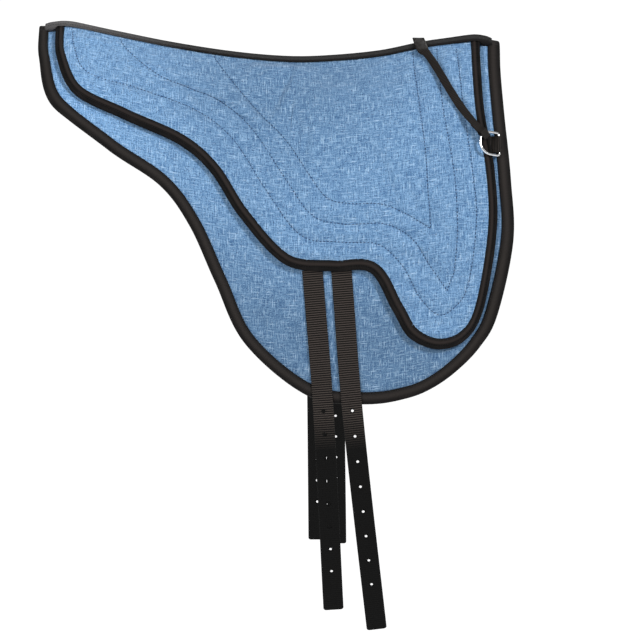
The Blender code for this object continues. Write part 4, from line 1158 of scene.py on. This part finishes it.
def handle_path(side):
    """The handle's middles and looks from the ridge, the count of those before its doubled end,
    the point where the ring holds it, the way it pulls and how far its sewn tail reaches."""
    bar, crown, down, out = ring_frame(side)
    pull = crown * cos(HANDLE_PULL) - down * sin(HANDLE_PULL)
    hold = bar + crown * RING_STRAIGHT + pull * RING_HALF_WIDTH
    turn_radius = WIRE_RADIUS + RING_PLAY + HANDLE_THICK / 2
    ply = (HANDLE_THICK + CLEARANCE) / 2
    past = WIRE_RADIUS * 2
    meet = past + turn_radius * 2
    tail_end = meet + HANDLE_TAIL
    route = flat(HANDLE_SHARES)
    ridge = np.array([(route[0][0], 0.0)])
    top = Vector(drape(ridge, SEAT_EDGE_TOP + 0.0021, side)[0])
    band, looks = [top + Vector((0, 0, HANDLE_ARCH))], [Vector((0, 0, 1))]
    for index in range(1, HANDLE_STEPS):
        where = spline(route, np.array([(len(route) - 1) * index / HANDLE_STEPS]))[0]
        place, _, _, outward = drape_frame(*where, HANDLE_MIDDLE, side)
        band.append(place)
        looks.append(outward)
    split = len(band)
    fold = [(tail_end + ply, ply), (meet, ply), (past, turn_radius)]
    fold += arc((-HANDLE_LOOP_SLACK, 0), (-turn_radius, turn_radius), pi / 2, -pi / 2, 13)
    fold += [(past, -turn_radius), (meet, -ply), (tail_end, -ply)]
    fold = [(along, height - max(along - past, 0) * tan(HANDLE_DROOP))
            for along, height in fold]
    for index, (along, height) in enumerate(fold):
        band.append(hold + pull * along + out * height)
        before, after = fold[max(index - 1, 0)], fold[min(index + 1, len(fold) - 1)]
        run, rise = before[0] - after[0], before[1] - after[1]
        looks.append((out * run - pull * rise).normalized())
    return band, looks, split, hold, pull, tail_end


def handle(word, side):
    """Half of the grab handle: its band over the seat, and its doubled end round the ring."""
    band, looks, split, hold, pull, tail_end = handle_path(side)
    places = stepped(len(band) - 1, HANDLE_FINENESS)
    middles = spline(band, places)
    runs = np.gradient(middles, axis=0)
    acrosses = np.cross(runs, unit(spline(looks, places)))
    acrosses[0] = np.cross(runs[0] * (1, 1, 0) + 1e-9, (0, 0, 1))
    gathered = smooth((places - 0.5) / 1.9)
    widths = 1 - HANDLE_NARROWED * gathered
    thicker = HANDLE_THICKENED * gathered * (1 - smooth(places - split + 1.2))
    cut = split * HANDLE_FINENESS
    over_seat, doubled = (
        strap(label + word, middles[part], acrosses[part], HANDLE_WIDTH, HANDLE_THICK,
              HANDLE_WEBBING, widths[part], thicker[part])
        for label, part in (("handle_band_", slice(0, cut + 1)), ("handle_end_", slice(cut, None))))
    on_half(over_seat, word, "webbing", "grab_handle")
    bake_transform(doubled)
    stands_for(doubled, "webbing", "grab_handle")


# Studio

def seen_by(tree, *rays):
    """1 for the named rays, and 0 for all others."""
    path, seen = add(tree, "LightPath"), 0.0
    for ray in rays:
        seen = worked(tree, "MAXIMUM", path.outputs[ray], seen)
    return seen


def studio():
    scene = bpy.context.scene
    scene.view_settings.view_transform = "Standard"
    world = bpy.data.worlds.new("soft_white_room")
    scene.world = world
    world.use_nodes = True
    tree = world.node_tree
    back = tree.nodes["Background"]
    seen = seen_by(tree, "Is Camera Ray", "Is Transmission Ray")
    back.inputs["Color"].default_value = (1, 1, 1, 1)
    tree.links.new(ranged(tree, seen, 0.0, 1.0, 0.28, 1.0), back.inputs["Strength"])

    shape = bmesh.new()
    bmesh.ops.create_grid(shape, x_segments=1, y_segments=1, size=40.0)
    bmesh.ops.translate(shape, verts=shape.verts, vec=(0, 20, -1.7))
    finish, tree, shader = new_finish("white_studio_floor", 0.9)
    shader.inputs["Base Color"].default_value = (0.9, 0.9, 0.9, 1)
    glow = add(tree, "Emission", {"Color": (1, 1, 1, 1), "Strength": 1.13})
    seen = seen_by(tree, "Is Camera Ray", "Is Glossy Ray", "Is Transmission Ray")
    mix = add(tree, "MixShader", {0: worked(tree, "MULTIPLY", seen, 0.9), 1: shader.outputs[0],
                                  2: glow.outputs[0]})
    tree.links.new(mix.outputs[0], tree.nodes["Material Output"].inputs["Surface"])
    finish_mesh(shape, "studio_floor", finish, recalculate=False)

    aim = Vector((0.02, 0, -0.2))
    for name, place, size, power in (("key_lamp", (2.4, -2.0, 1.9), 0.7, 88.0),
                                     ("fill_lamp", (-2.4, -2.8, 0.9), 2.0, 72.0),
                                     ("back_lamp", (0.3, 2.8, 1.8), 1.6, 62.0)):
        lamp = placed(name, configure(bpy.data.lights.new(name, "AREA"), energy=power, size=size))
        lamp.location = place
        lamp.rotation_euler = (aim - Vector(place)).to_track_quat("-Z", "Y").to_euler()

    # The camera stands 4 m away and 12 degrees up, with 1.52 mm to a pixel at the spine
    target, distance, rise = Vector((0.066, 0, -0.3874)), 4.0, radians(12)
    sensor, picture_width = 36.0, 640 * 0.00152
    camera = placed("photo_camera", configure(
        bpy.data.cameras.new("photo_camera"), sensor_width=sensor,
        lens=sensor * distance / picture_width, clip_end=200.0))
    camera.location = target + Vector((0, -cos(rise), sin(rise))) * distance
    camera.rotation_euler = (pi / 2 - rise, 0, 0)
    scene.camera = camera


studio()
skirt_grid, skirt_puff = skirt_form()
seat_grid, left_seat_face = seat_face()
for word, side in SIDES.items():
    skirt(word, side, skirt_grid, skirt_puff)
    bindings(word, side)
    seat(word, side, seat_grid, left_seat_face)
    for end in ("rear", "front"):
        billet(word, end, side)
    d_ring(word, side)
    ring_tab(word, side)
    handle(word, side)
ridge_pieces()
